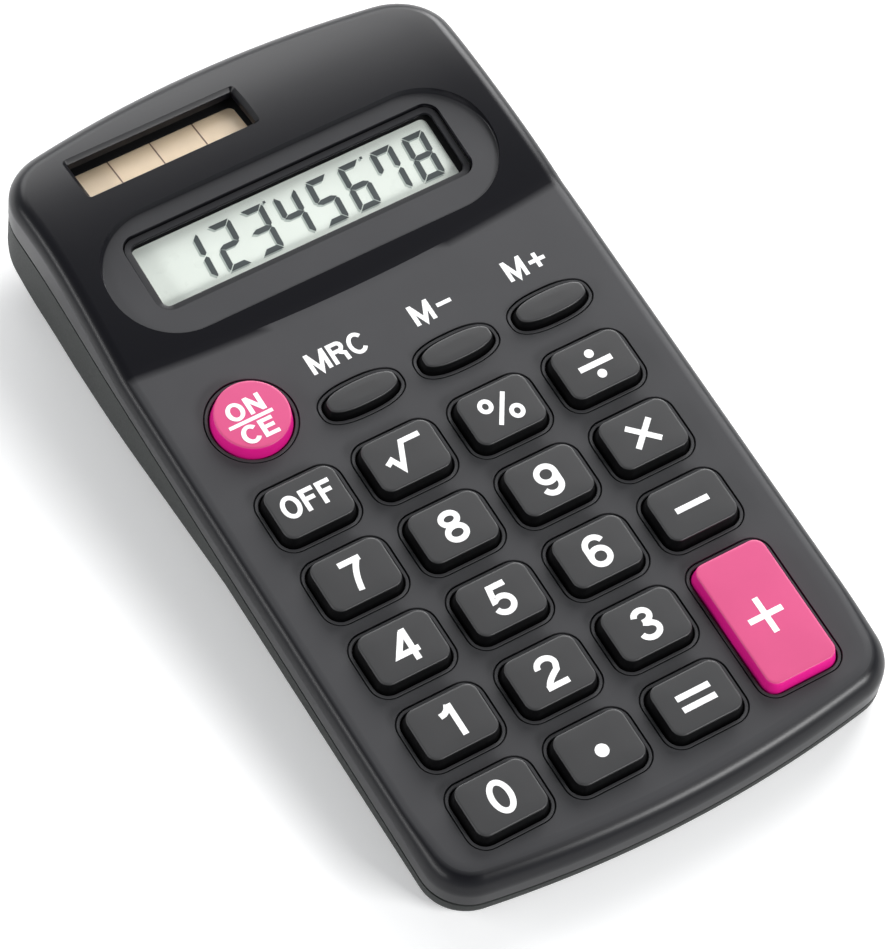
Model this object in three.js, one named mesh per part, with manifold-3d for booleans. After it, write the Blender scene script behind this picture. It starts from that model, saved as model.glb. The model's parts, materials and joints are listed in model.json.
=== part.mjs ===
// Pocket calculator: a wedge-shaped two-part case with 23 sprung keys, a raised
// display end with a liquid crystal display and a solar cell, and one AAA cell
// that lies across the belly under a cover that slides off.
//
// Units are millimetres. Everything is laid out in the face frame: x to the
// right, y towards the display end and z up from the flat keypad face. The face
// frame is then tilted so that the case rests on its belly and its front edge,
// and moved so that the origin is at the bottom centre of the whole object.

import * as THREE from 'three';
import { mergeVertices } from 'three/addons/utils/BufferGeometryUtils.js';
import Module from 'manifold-3d';

const wasm = await Module();
wasm.setup();

// ---------------------------------------------------------------- dimensions

// Gaps between neighbours, how far a cutter reaches past what it cuts, and how
// close two points must be to count as one.
const GAP = 0.3;
const OVERCUT = 1;
const MERGE_DISTANCE = 1e-5;

// Case outline, seen from above.
const CASE_WIDTH = 66.2;
const BACK_Y = 62.1;
const FRONT_Y = -60.1;
const BACK_NARROWING = 0.7;
const BACK_CORNER_RADIUS = 8.5;
const FRONT_CORNER_RADIUS = 6.5;
const BACK_BOW_RADIUS = 135;
const FRONT_BOW_RADIUS = 166;
const BOW_STEPS = 4;
const CORNER_STEPS = 5;
const BOW_FIRST_STEP = 0.1;

// Case in side view. The keypad face is at z = 0.
const CREASE_Y = 22.6;
const CREST_Y = 41;
const CREST_HEIGHT = 1.4;
const BACK_ROLL_RADIUS = 55;
const TOP_FILLET = 2.4;
const PARTING_FRONT_Z = -5.5;
const PARTING_CREASE_Z = -4;
const PARTING_BACK_Z = -6.2;
const FRONT_DEPTH = 8.8;
const TAPER_START_Y = -4;
const TAPER_START_DEPTH = 9.3;
const BELLY_FRONT_Y = 35;
const BELLY_BACK_Y = 45;
const BELLY_DEPTH = 15.8;
const REST_FRONT_Y = -55;
const MIN_RIM_DEPTH = 0.8;
const BOTTOM_FILLET = 2;
const BOTTOM_FILLET_SHARE = 0.75;
const UPPER_WALL = 1.5;
const SIDE_WALL = 1.6;
const LOWER_WALL = 1.5;

// Keys and their holes.
const COLUMN_PITCH = 14;
const ROW_PITCH = 11.5;
const FIRST_ROW_Y = -3.15;
const MEMORY_ROW_Y = 7.6;
const ON_KEY_Y = 11;
const HOLE_CHAMFER = 0.4;
const KEY_CLEARANCE = 0.3;
const KEY_HEIGHT = 1.7;
const KEY_EDGE = 0.35;
const KEY_DRAFT = 0.45;
const FLANGE_REACH = 0.6;
const FLANGE_THICKNESS = 0.6;
const KEY_WALL = 1.1;
const KEY_CEILING = 0.3;
const SQUARE_HOLE = { width: 12.4, height: 9.9, radius: 2.7 };
const TALL_HOLE = { width: 12.4, height: 21, radius: 2.7 };
const MEMORY_HOLE = { width: 12.2, height: 5.9 };
const MEMORY_EXPONENT = 2.6;
const MEMORY_KEY_HEIGHT = 1.2;
const ROUND_HOLE_DIAMETER = 12.2;
const ROUND_HOLE_PAIRS = 12;
const MEMORY_HOLE_PAIRS = 10;
const CORNER_SHRINK = 0.7;
const MIDDLE_COLUMN = 1.5;

// Display and solar cell, on a plane that leans back with the display end.
const DISPLAY_Y = 35.3;
const DISPLAY_LEAN = 3.3;
const SURROUND = { width: 56.2, height: 19.2, radius: 9.2, depth: 0.7 };
const DISPLAY_OPENING = { width: 43.8, height: 9.5, radius: 1.2 };
const DISPLAY_BEVEL = 1.2;
const WINDOW_THICKNESS = 0.6;
const WINDOW_MARGIN = 1.6;
const LCD_SIZE = [48, 14.4, 1.6];
const REFLECTOR_SIZE = [48, 12, 0.3];
const REFLECTOR_Y = 1;
const CONNECTOR_SIZE = [45, 1.1, 0.7];
const CONNECTOR_Y = 28.6;
const SOLAR_X = -10.6;
const SOLAR_Y = 52.5;
const SOLAR_OPENING = { width: 23.8, height: 6.2, radius: 0.6 };
const SOLAR_BEVEL = 0.7;
const SOLAR_CELL_SIZE = [26, 8, 0.5];

// Key mat and main board.
const MAT_TOP_Z = -4;
const MAT_THICKNESS = 0.5;
const DOME_HEIGHT = 2;
const KEY_DOME = { top: 1.5, base: 2.4 };
const MEMORY_DOME = { top: 0.8, base: 1 };
const DOME_SIDES = 8;
const BOARD_THICKNESS = 0.8;
const BOARD_TOP_Z = MAT_TOP_Z - MAT_THICKNESS - GAP;
const BOARD_BOTTOM_Z = BOARD_TOP_Z - BOARD_THICKNESS;
const BOARD_HALF_WIDTH = 26.4;
const BOARD_FRONT_Y = -54.8;
const BOARD_CORNER_RADIUS = 3;
const BOARD_BACK_Y = 38.2;
const MAT_FRONT_Y = -53.4;
const MAT_BACK_Y = 18.4;
const CHIP_POSITION = [-7, 11];
const CAPACITOR_POSITION = [9, 26];
const RESISTOR_POSITION = [-9, 26];
const CAPACITOR = { radius: 2, edgeRadius: 1.7, half: 2.6, edgeHalf: 2.2, sides: 12 };
const RESISTOR = { radius: 0.9, half: 1.5, lead: 0.3, neckHalf: 1.8, leadHalf: 3.4, sides: 8 };
const CHIP_SIDES = 14;
const CHIP_PROFILE = [
  [0, -1.2],
  [2.4, -1],
  [3.8, -0.5],
  [4.4, 0],
  [0, 0],
];

// Battery, its contacts and its cover.
const CELL_RADIUS = 5.25;
const CELL_BODY_LENGTH = 43.7;
const CELL_NUB = { radius: 1.9, length: 0.8 };
const CELL_EDGE = 0.5;
const CELL_SIDES = 18;
const CELL_X = 1.4;
const CELL_Y = 46.2;
const CELL_Z = -8.5;
const CONTACT_THICKNESS = 0.4;
const CONTACT_SIZE = [8, 8.4];
const SPRING_LENGTH = 2.8;
const SPRING_WIRE_RADIUS = 0.3;
const SPRING_RADII = [3.2, 1.6];
const SPRING_TURNS = 2.5;
const SPRING_STEPS = 30;
const SPRING_SIDES = 6;
const BAY_WALL = 1.6;
const BAY_WALL_TOP_Z = -4.3;
const COVER_WIDTH = 50;
const COVER_FRONT_Y = 36;
const COVER_TOP_Z = -6.4;
const COVER_THICKNESS = 1.4;
const TONGUE_SIZE = [8, 4, 1];
const TONGUE_REACH = 2.5;
const TONGUE_X = 14;
const GRIP_COUNT = 5;
const GRIP_PITCH = 1.6;
const GRIP_SIZE = [14, 0.7, 0.4];

// Wires, each from a terminal to its pad on the main board.
const WIRE_RADIUS = 0.4;
const WIRE_STEPS = 16;
const WIRE_SIDES = 8;
const WIRE_ROUTES = {
  solar_wire_red: [
    [-25.4, 53, -1.9],
    [-28, 49.4, -2.2],
    [-29.2, 42, -3],
    [-29, 34, -3.7],
    [-27.4, 31, -4.1],
    [-25.4, 30.4, -4.1],
  ],
  solar_wire_black: [
    [-25.4, 50.6, -1.9],
    [-27.1, 47, -2.2],
    [-27.6, 40, -3],
    [-27.2, 35.4, -3.8],
    [-26.6, 33.8, -4.1],
    [-25.4, 33.2, -4.1],
  ],
  battery_wire_black: [
    [-24.2, 45.4, -3.5],
    [-25.6, 44, -3.6],
    [-26.3, 40, -4],
    [-26.2, 37.6, -4.1],
    [-25.4, 36.2, -4.1],
  ],
  battery_wire_red: [
    [24.2, 45.4, -3.5],
    [25.6, 44, -3.6],
    [26.3, 40, -4],
    [26.2, 37.6, -4.1],
    [25.4, 36.2, -4.1],
  ],
};

// Screws. The case screws come up from the underside, the board screws too.
const CASE_SCREW_X = 29.7;
const CASE_SCREW_YS = [-31.6, 20];
const BOARD_SCREW_X = 14;
const BOARD_SCREW_YS = [FIRST_ROW_Y - 2.5 * ROW_PITCH, 20.6];
const CASE_SCREW = { headRadius: 1.7, headHeight: 1.1, shankRadius: 0.85, shankLength: 4.2 };
const BOARD_SCREW = { headRadius: 1.2, headHeight: 0.5, shankRadius: 0.5, shankLength: 3.4 };
const CASE_POST_RADIUS = 1.8;
const CASE_BOSS_RADIUS = 2.7;
const CASE_BOSS_CAP = 1.4;
const BOARD_POST_RADIUS = 1.15;
const SCREW_CLEARANCE = 0.2;
const SCREW_SIDES = 10;
const SCREW_CROWN = { width: 0.8, side: 0.6 };
const SCREW_TIP = 0.85;

// ------------------------------------------------------- solids from three.js

function toManifold(geometry) {
  const bare = geometry.index ? geometry.toNonIndexed() : geometry.clone();
  bare.deleteAttribute('normal');
  bare.deleteAttribute('uv');
  const merged = mergeVertices(bare, MERGE_DISTANCE);
  const mesh = new wasm.Mesh({
    numProp: 3,
    vertProperties: merged.attributes.position.array,
    triVerts: new Uint32Array(merged.index.array),
  });
  return new wasm.Manifold(mesh);
}

function toGeometry(manifold) {
  const mesh = manifold.getMesh();
  const geometry = new THREE.BufferGeometry();
  geometry.setAttribute('position', new THREE.BufferAttribute(mesh.vertProperties, 3));
  geometry.setIndex(new THREE.BufferAttribute(mesh.triVerts, 1));
  geometry.computeVertexNormals();
  return geometry;
}

// A closed solid through a list of rings, which all have the same number of
// points and run clockwise from the back. Each ring mirrors itself left to
// right, so its two ends close with a ladder of flat rungs.
function ringSolid(rings) {
  const count = rings[0].length;
  const last = count - 1;
  const positions = [];
  const quad = (a, b, c, d) => positions.push(...a, ...b, ...c, ...a, ...c, ...d);
  for (let level = 0; level < rings.length - 1; level += 1) {
    const upper = rings[level];
    const lower = rings[level + 1];
    for (let i = 0; i < count; i += 1) {
      const next = (i + 1) % count;
      quad(upper[i], upper[next], lower[next], lower[i]);
    }
  }
  const top = rings[0];
  const bottom = rings[rings.length - 1];
  for (let i = 0; i < count / 2 - 1; i += 1) {
    quad(top[i], top[last - i], top[last - i - 1], top[i + 1]);
    quad(bottom[i], bottom[i + 1], bottom[last - i - 1], bottom[last - i]);
  }
  const geometry = new THREE.BufferGeometry();
  geometry.setAttribute('position', new THREE.Float32BufferAttribute(positions, 3));
  geometry.computeVertexNormals();
  return geometry;
}

// The left half of a ring is its right half mirrored and walked backwards.
function mirrored(half) {
  const left = half.map(([x, y]) => [-x, y]).reverse();
  return [...half, ...left];
}

function arc(centreX, centreY, radius, fromDegrees, toDegrees, steps) {
  const points = [];
  for (let i = 0; i <= steps; i += 1) {
    const angle = THREE.MathUtils.degToRad(fromDegrees + ((toDegrees - fromDegrees) * i) / steps);
    points.push([centreX + radius * Math.sin(angle), centreY + radius * Math.cos(angle)]);
  }
  return points;
}

function roundedRectangle(width, height, radius, steps = 2) {
  const x = width / 2 - radius;
  const y = height / 2 - radius;
  return mirrored([...arc(x, y, radius, 0, 90, steps), ...arc(x, -y, radius, 90, 180, steps)]);
}

// A circle with exponent 2; larger exponents give a fuller, bowed oblong.
function superellipse(width, height, exponent, pairs) {
  const half = [];
  for (let i = 0; i < pairs; i += 1) {
    const angle = (Math.PI * (i + 0.5)) / pairs;
    const reach = (value) => Math.sign(value) * Math.abs(value) ** (2 / exponent);
    half.push([(width / 2) * reach(Math.sin(angle)), (height / 2) * reach(Math.cos(angle))]);
  }
  return mirrored(half);
}

function atHeight(outline, z) {
  return outline.map(([x, y]) => [x, y, z]);
}

function box(width, depth, height, x, y, z) {
  return new THREE.BoxGeometry(width, depth, height).translate(x, y, z);
}

function uprightCylinder(radius, bottomZ, topZ, x, y, sides = SCREW_SIDES) {
  const geometry = new THREE.CylinderGeometry(radius, radius, topZ - bottomZ, sides);
  return geometry.rotateX(Math.PI / 2).translate(x, y, (topZ + bottomZ) / 2);
}

// ------------------------------------------------------------ case in section

const CREST_RADIUS =
  ((CREST_Y - CREASE_Y) ** 2 + CREST_HEIGHT ** 2) / (2 * CREST_HEIGHT);

// Height of the top face: flat over the keys, one long arc up to the crest and
// a rounder one down to the back.
function topZ(y) {
  if (y <= CREASE_Y) {
    return 0;
  }
  const radius = y <= CREST_Y ? CREST_RADIUS : BACK_ROLL_RADIUS;
  return CREST_HEIGHT - radius + Math.sqrt(radius ** 2 - (CREST_Y - y) ** 2);
}

// Height of the line where the two halves of the case meet.
function partingZ(y) {
  if (y <= CREASE_Y) {
    return THREE.MathUtils.mapLinear(y, FRONT_Y, CREASE_Y, PARTING_FRONT_Z, PARTING_CREASE_Z);
  }
  return THREE.MathUtils.mapLinear(y, CREASE_Y, BACK_Y, PARTING_CREASE_Z, PARTING_BACK_Z);
}

// The table, seen from the tilted face: a plane through the front edge's foot
// and the back of the belly.
const TABLE_SLOPE = (BELLY_DEPTH - FRONT_DEPTH) / (BELLY_BACK_Y - REST_FRONT_Y);

function tableZ(y) {
  return -FRONT_DEPTH - TABLE_SLOPE * (y - REST_FRONT_Y);
}

// Height of the underside: level with the table at the front edge, a shallow
// hollow, a taper down to the flat belly, and a quarter ellipse up the back.
function undersideZ(y) {
  if (y <= REST_FRONT_Y) {
    return tableZ(y);
  }
  if (y <= TAPER_START_Y) {
    return THREE.MathUtils.mapLinear(y, REST_FRONT_Y, TAPER_START_Y, -FRONT_DEPTH, -TAPER_START_DEPTH);
  }
  if (y <= BELLY_FRONT_Y) {
    const belly = tableZ(BELLY_FRONT_Y);
    return THREE.MathUtils.mapLinear(y, TAPER_START_Y, BELLY_FRONT_Y, -TAPER_START_DEPTH, belly);
  }
  if (y <= BELLY_BACK_Y) {
    return tableZ(y);
  }
  const reach = Math.min(1, (y - BELLY_BACK_Y) / (BACK_Y - BELLY_BACK_Y));
  const rise = PARTING_BACK_Z + BELLY_DEPTH;
  const curve = PARTING_BACK_Z - rise * Math.sqrt(1 - reach ** 2);
  return Math.min(curve, partingZ(y) - MIN_RIM_DEPTH);
}

// Case outline, moved in by an inset. Its sides narrow towards the back from
// the crease on, and have a point at every y where the side view bends.
const SIDE_YS = [BELLY_BACK_Y, 41, 38, BELLY_FRONT_Y, 32, 29, 26, CREASE_Y, TAPER_START_Y];

function sideX(y) {
  const narrowing = THREE.MathUtils.mapLinear(y, CREASE_Y, SIDE_YS[0], 0, BACK_NARROWING);
  return CASE_WIDTH / 2 - THREE.MathUtils.clamp(narrowing, 0, BACK_NARROWING);
}

// Centre of a corner's arc, and the angle where the end's long arc runs into
// it. The end is taken as the back one, at endY.
function cornerOf(bowRadius, cornerRadius, endY, halfWidth) {
  const x = halfWidth - cornerRadius;
  const bowCentre = endY - bowRadius;
  const y = bowCentre + Math.sqrt((bowRadius - cornerRadius) ** 2 - x ** 2);
  const turn = THREE.MathUtils.radToDeg(Math.atan2(x, y - bowCentre));
  return { bowCentre, x, y, turn };
}

function caseOutline(inset) {
  const halfWidth = CASE_WIDTH / 2;
  const back = cornerOf(BACK_BOW_RADIUS, BACK_CORNER_RADIUS, BACK_Y, halfWidth - BACK_NARROWING);
  const front = cornerOf(FRONT_BOW_RADIUS, FRONT_CORNER_RADIUS, -FRONT_Y, halfWidth);
  const frontTurn = 180 - front.turn;
  const frontEnd = 180 - front.turn * BOW_FIRST_STEP;
  const half = [
    ...arc(0, back.bowCentre, BACK_BOW_RADIUS - inset, back.turn * BOW_FIRST_STEP, back.turn, BOW_STEPS),
    ...arc(back.x, back.y, BACK_CORNER_RADIUS - inset, back.turn, 90, CORNER_STEPS).slice(1),
    ...SIDE_YS.map((y) => [sideX(y) - inset, y]),
    ...arc(front.x, -front.y, FRONT_CORNER_RADIUS - inset, 90, frontTurn, CORNER_STEPS),
    ...arc(0, -front.bowCentre, FRONT_BOW_RADIUS - inset, frontTurn, frontEnd, BOW_STEPS).slice(1),
  ];
  return mirrored(half);
}

const QUARTER_STEPS = [0, 22.5, 45, 67.5, 90].map(THREE.MathUtils.degToRad);

// Upper half of the case as a full block, moved in all round by a wall.
function upperBlock(wall, topWall, skirt) {
  const fillet = TOP_FILLET - wall / 2;
  const rings = QUARTER_STEPS.map((angle) => {
    const inset = wall + fillet * (1 - Math.sin(angle));
    const drop = topWall + fillet * (1 - Math.cos(angle));
    return caseOutline(inset).map(([x, y]) => [x, y, topZ(y) - drop]);
  });
  rings.push(caseOutline(wall).map(([x, y]) => [x, y, partingZ(y) - skirt]));
  return toManifold(ringSolid(rings));
}

// Lower half of the case as a full block, moved in all round by a wall.
function lowerBlock(wall, floorWall, skirt) {
  const fillet = BOTTOM_FILLET - wall / 2;
  const rings = [caseOutline(wall).map(([x, y]) => [x, y, partingZ(y) + skirt])];
  for (const angle of QUARTER_STEPS) {
    const inset = wall + fillet * (1 - Math.cos(angle));
    const ring = caseOutline(inset).map(([x, y]) => {
      const depth = partingZ(y) - undersideZ(y);
      const rise = Math.min(fillet, depth * BOTTOM_FILLET_SHARE) * (1 - Math.sin(angle));
      return [x, y, undersideZ(y) + floorWall + rise];
    });
    rings.push(ring);
  }
  return toManifold(ringSolid(rings));
}

// ----------------------------------------------------------------- key layout

function columnX(column) {
  return (column - MIDDLE_COLUMN) * COLUMN_PITCH;
}

function rowY(row) {
  return FIRST_ROW_Y - row * ROW_PITCH;
}

function shrunkRectangle(hole, inset) {
  const radius = hole.radius - inset * CORNER_SHRINK;
  return roundedRectangle(hole.width - 2 * inset, hole.height - 2 * inset, radius);
}

const squareShape = (inset) => shrunkRectangle(SQUARE_HOLE, inset);
const tallShape = (inset) => shrunkRectangle(TALL_HOLE, inset);
function roundShape(inset) {
  const diameter = ROUND_HOLE_DIAMETER - 2 * inset;
  return superellipse(diameter, diameter, 2, ROUND_HOLE_PAIRS);
}

function memoryShape(inset) {
  const width = MEMORY_HOLE.width - 2 * inset;
  const height = MEMORY_HOLE.height - 2 * inset;
  return superellipse(width, height, MEMORY_EXPONENT, MEMORY_HOLE_PAIRS);
}

// Pocket under a key, which its rubber dome stands in.
const SQUARE_POCKET = [8.2, 5.6];
const TALL_POCKET = [8.2, 16];
const ROUND_POCKET = [6.6, 6.6];
const MEMORY_POCKET = [7, 2.6];

const KEYS = [
  { name: 'key_on_ce', shape: roundShape, x: columnX(0), y: ON_KEY_Y, pocket: ROUND_POCKET, pink: true },
];
['key_mrc', 'key_m_minus', 'key_m_plus'].forEach((name, index) => {
  KEYS.push({ name, shape: memoryShape, x: columnX(index + 1), y: MEMORY_ROW_Y, pocket: MEMORY_POCKET });
});
const SQUARE_KEY_ROWS = [
  ['key_off', 'key_root', 'key_percent', 'key_divide'],
  ['key_7', 'key_8', 'key_9', 'key_multiply'],
  ['key_4', 'key_5', 'key_6', 'key_minus'],
  ['key_1', 'key_2', 'key_3'],
  ['key_0', 'key_point', 'key_equals'],
];
SQUARE_KEY_ROWS.forEach((names, row) => {
  names.forEach((name, column) => {
    KEYS.push({ name, shape: squareShape, x: columnX(column), y: rowY(row), pocket: SQUARE_POCKET });
  });
});
KEYS.push({
  name: 'key_plus',
  shape: tallShape,
  x: columnX(3),
  y: rowY(3) + (SQUARE_HOLE.height - TALL_HOLE.height) / 2,
  pocket: TALL_POCKET,
  pink: true,
});

function keyHeight(key) {
  return key.shape === memoryShape ? MEMORY_KEY_HEIGHT : KEY_HEIGHT;
}

function keyHoleCutter(key) {
  const straight = key.shape(HOLE_CHAMFER);
  const rings = [
    atHeight(key.shape(0), OVERCUT),
    atHeight(key.shape(0), 0),
    atHeight(straight, -HOLE_CHAMFER),
    atHeight(straight, -UPPER_WALL - OVERCUT),
  ];
  return toManifold(ringSolid(rings).translate(key.x, key.y, 0));
}

// A hollow cap that tapers to a bevelled top, on a flange that holds it in.
function keyCap(key) {
  const height = keyHeight(key);
  const side = HOLE_CHAMFER + KEY_CLEARANCE;
  const flangeTop = -UPPER_WALL - GAP;
  const flangeBottom = flangeTop - FLANGE_THICKNESS;
  const rings = [
    atHeight(key.shape(side + KEY_DRAFT + KEY_EDGE), height),
    atHeight(key.shape(side + KEY_DRAFT), height - KEY_EDGE),
    atHeight(key.shape(side), flangeTop),
    atHeight(key.shape(HOLE_CHAMFER - FLANGE_REACH), flangeTop),
    atHeight(key.shape(HOLE_CHAMFER - FLANGE_REACH), flangeBottom),
  ];
  const ceiling = height - KEY_WALL - KEY_CEILING;
  const pocketHeight = ceiling - flangeBottom + OVERCUT;
  const [width, depth] = key.pocket;
  const pocket = box(width, depth, pocketHeight, 0, 0, ceiling - pocketHeight / 2);
  return toGeometry(toManifold(ringSolid(rings)).subtract(toManifold(pocket)));
}

// -------------------------------------------------------------- display frame

const DISPLAY_PLANE = new THREE.Matrix4()
  .makeRotationX(THREE.MathUtils.degToRad(DISPLAY_LEAN))
  .setPosition(0, DISPLAY_Y, topZ(DISPLAY_Y));

const SOLAR_LEAN = Math.asin((CREST_Y - SOLAR_Y) / BACK_ROLL_RADIUS);
const SOLAR_PLANE = new THREE.Matrix4()
  .makeRotationX(SOLAR_LEAN)
  .setPosition(SOLAR_X, SOLAR_Y, topZ(SOLAR_Y));

function openingCutter(opening, bevel, plane) {
  const { width, height, radius } = opening;
  const wide = roundedRectangle(width + 2 * bevel, height + 2 * bevel, radius + bevel);
  const narrow = roundedRectangle(width, height, radius);
  const rings = [
    atHeight(wide, OVERCUT),
    atHeight(wide, 0),
    atHeight(narrow, -UPPER_WALL),
    atHeight(narrow, -UPPER_WALL - 2 * OVERCUT),
  ];
  return toManifold(ringSolid(rings).applyMatrix4(plane));
}

function surroundCutter() {
  const outline = roundedRectangle(SURROUND.width, SURROUND.height, SURROUND.radius, 6);
  const rings = [atHeight(outline, 2 * OVERCUT), atHeight(outline, -SURROUND.depth)];
  return toManifold(ringSolid(rings).applyMatrix4(DISPLAY_PLANE));
}

// ----------------------------------------------------------------- case parts

function screwPositions(halfSpacing, ys) {
  return ys.flatMap((y) => [-halfSpacing, halfSpacing].map((x) => [x, y]));
}

const CASE_SCREWS = screwPositions(CASE_SCREW_X, CASE_SCREW_YS);
const BOARD_SCREWS = screwPositions(BOARD_SCREW_X, BOARD_SCREW_YS);

// A case screw's head sits at the end of a well that runs up inside its boss.
function caseScrewHeadZ(y) {
  return partingZ(y) - GAP - CASE_BOSS_CAP - GAP;
}

function upperCase() {
  let shell = upperBlock(0, 0, 0).subtract(upperBlock(SIDE_WALL, UPPER_WALL, OVERCUT));
  for (const [x, y] of CASE_SCREWS) {
    const postBottom = partingZ(y);
    shell = shell.add(toManifold(uprightCylinder(CASE_POST_RADIUS, postBottom, -UPPER_WALL / 2, x, y)));
  }
  for (const [x, y] of BOARD_SCREWS) {
    const postBottom = BOARD_TOP_Z + GAP;
    shell = shell.add(toManifold(uprightCylinder(BOARD_POST_RADIUS, postBottom, -UPPER_WALL / 2, x, y)));
  }
  for (const [x, y] of CASE_SCREWS) {
    const bore = CASE_SCREW.shankRadius + SCREW_CLEARANCE;
    shell = shell.subtract(toManifold(uprightCylinder(bore, partingZ(y) - OVERCUT, -UPPER_WALL, x, y)));
  }
  for (const [x, y] of BOARD_SCREWS) {
    const bore = BOARD_SCREW.shankRadius + SCREW_CLEARANCE;
    shell = shell.subtract(toManifold(uprightCylinder(bore, BOARD_TOP_Z - OVERCUT, -UPPER_WALL, x, y)));
  }
  for (const key of KEYS) {
    shell = shell.subtract(keyHoleCutter(key));
  }
  shell = shell.subtract(surroundCutter());
  shell = shell.subtract(openingCutter(DISPLAY_OPENING, DISPLAY_BEVEL, DISPLAY_PLANE));
  shell = shell.subtract(openingCutter(SOLAR_OPENING, SOLAR_BEVEL, SOLAR_PLANE));
  return toGeometry(shell);
}

function coverRegion(clearance) {
  const width = COVER_WIDTH + 2 * clearance;
  const front = COVER_FRONT_Y - clearance;
  const back = BACK_Y + OVERCUT;
  const top = COVER_TOP_Z + clearance;
  const bottom = -BELLY_DEPTH - 2 * OVERCUT;
  return toManifold(box(width, back - front, top - bottom, 0, (front + back) / 2, (top + bottom) / 2));
}

// Height of the top of the cover's tongues, which lie on the case's floor.
function tongueTopZ() {
  return undersideZ(COVER_FRONT_Y) + LOWER_WALL + GAP + TONGUE_SIZE[2];
}

// Ribs in the lower case around the battery: one in front, with a notch for
// each of the cover's tongues to slide through, and one at each end.
function batteryBay() {
  const low = -BELLY_DEPTH - OVERCUT;
  const height = BAY_WALL_TOP_Z - low;
  const middleZ = (BAY_WALL_TOP_Z + low) / 2;
  const frontY = CELL_Y - CELL_RADIUS - 2 * GAP - BAY_WALL / 2;
  const [leftX, rightX] = contactXs();
  const leftWallX = leftX - CONTACT_THICKNESS / 2 - GAP - BAY_WALL / 2;
  const rightWallX = rightX + CONTACT_THICKNESS / 2 + GAP + BAY_WALL / 2;
  const span = rightWallX - leftWallX;
  const middleX = (leftWallX + rightWallX) / 2;
  let front = toManifold(box(span, BAY_WALL, height, middleX, frontY, middleZ));
  const notchHeight = tongueTopZ() + GAP - low;
  for (const x of [-TONGUE_X, TONGUE_X]) {
    const notchWidth = TONGUE_SIZE[0] + 2 * GAP;
    const notch = box(notchWidth, BAY_WALL + OVERCUT, notchHeight, x, frontY, low + notchHeight / 2);
    front = front.subtract(toManifold(notch));
  }
  const depth = 2 * CELL_RADIUS + 2 * GAP;
  const left = toManifold(box(BAY_WALL, depth, height, leftWallX, frontY + depth / 2, middleZ));
  const right = toManifold(box(BAY_WALL, depth, height, rightWallX, frontY + depth / 2, middleZ));
  return front.add(left).add(right);
}

function contactXs() {
  const length = CELL_BODY_LENGTH + CELL_NUB.length;
  const left = CELL_X - length / 2 - GAP - SPRING_LENGTH - CONTACT_THICKNESS / 2;
  const right = CELL_X + length / 2 + GAP + CONTACT_THICKNESS / 2;
  return [left, right];
}

// What the cover's opening takes out of the case: only the skin, so that the
// ribs above the cover stay.
function coverOpening() {
  const skin = COVER_THICKNESS + 2 * GAP;
  return coverRegion(GAP).subtract(lowerBlock(skin, skin, OVERCUT));
}

function lowerCase() {
  const outer = lowerBlock(0, 0, -GAP);
  let shell = outer.subtract(lowerBlock(SIDE_WALL, LOWER_WALL, OVERCUT));
  let inner = batteryBay();
  for (const [x, y] of CASE_SCREWS) {
    const bossTop = partingZ(y) - GAP;
    const bossBottom = -BELLY_DEPTH;
    inner = inner.add(toManifold(uprightCylinder(CASE_BOSS_RADIUS, bossBottom, bossTop, x, y)));
  }
  shell = shell.add(inner.intersect(outer));
  shell = shell.subtract(coverOpening());
  for (const [x, y] of CASE_SCREWS) {
    const well = CASE_SCREW.headRadius + GAP;
    const bore = CASE_SCREW.shankRadius + SCREW_CLEARANCE;
    const wellTop = caseScrewHeadZ(y) + GAP;
    const wellBottom = -BELLY_DEPTH - OVERCUT;
    shell = shell.subtract(toManifold(uprightCylinder(well, wellBottom, wellTop, x, y)));
    shell = shell.subtract(toManifold(uprightCylinder(bore, wellTop - GAP, partingZ(y) + OVERCUT, x, y)));
  }
  return toGeometry(shell);
}

// The cover repeats the case's own curve, set in a little, with tongues that
// slip over the case's edge and grip ridges cut across it.
function batteryCover() {
  const inside = GAP + COVER_THICKNESS;
  const skin = lowerBlock(GAP, GAP, 0).subtract(lowerBlock(inside, inside, OVERCUT));
  let cover = skin.intersect(coverRegion(0));
  const [width, length, thickness] = TONGUE_SIZE;
  const footLength = length - TONGUE_REACH;
  const footY = (length - footLength) / 2;
  const tongueY = COVER_FRONT_Y - TONGUE_REACH + length / 2;
  const tongueZ = tongueTopZ() - thickness / 2;
  const lean = -Math.atan(TABLE_SLOPE);
  for (const x of [-TONGUE_X, TONGUE_X]) {
    const tongue = box(width, length, thickness, 0, 0, 0).rotateX(lean);
    const foot = box(width, footLength, thickness * 2, 0, footY, -thickness).rotateX(lean);
    cover = cover.add(toManifold(tongue.translate(x, tongueY, tongueZ)));
    cover = cover.add(toManifold(foot.translate(x, tongueY, tongueZ)));
  }
  const [gripWidth, gripLength, gripDepth] = GRIP_SIZE;
  for (let i = 0; i < GRIP_COUNT; i += 1) {
    const y = COVER_FRONT_Y + (i + 1.5) * GRIP_PITCH;
    const groove = box(gripWidth, gripLength, 2 * gripDepth, 0, y, tableZ(y) + GAP);
    cover = cover.subtract(toManifold(groove));
  }
  return toGeometry(cover);
}

// --------------------------------------------------------------- inside parts

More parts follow.
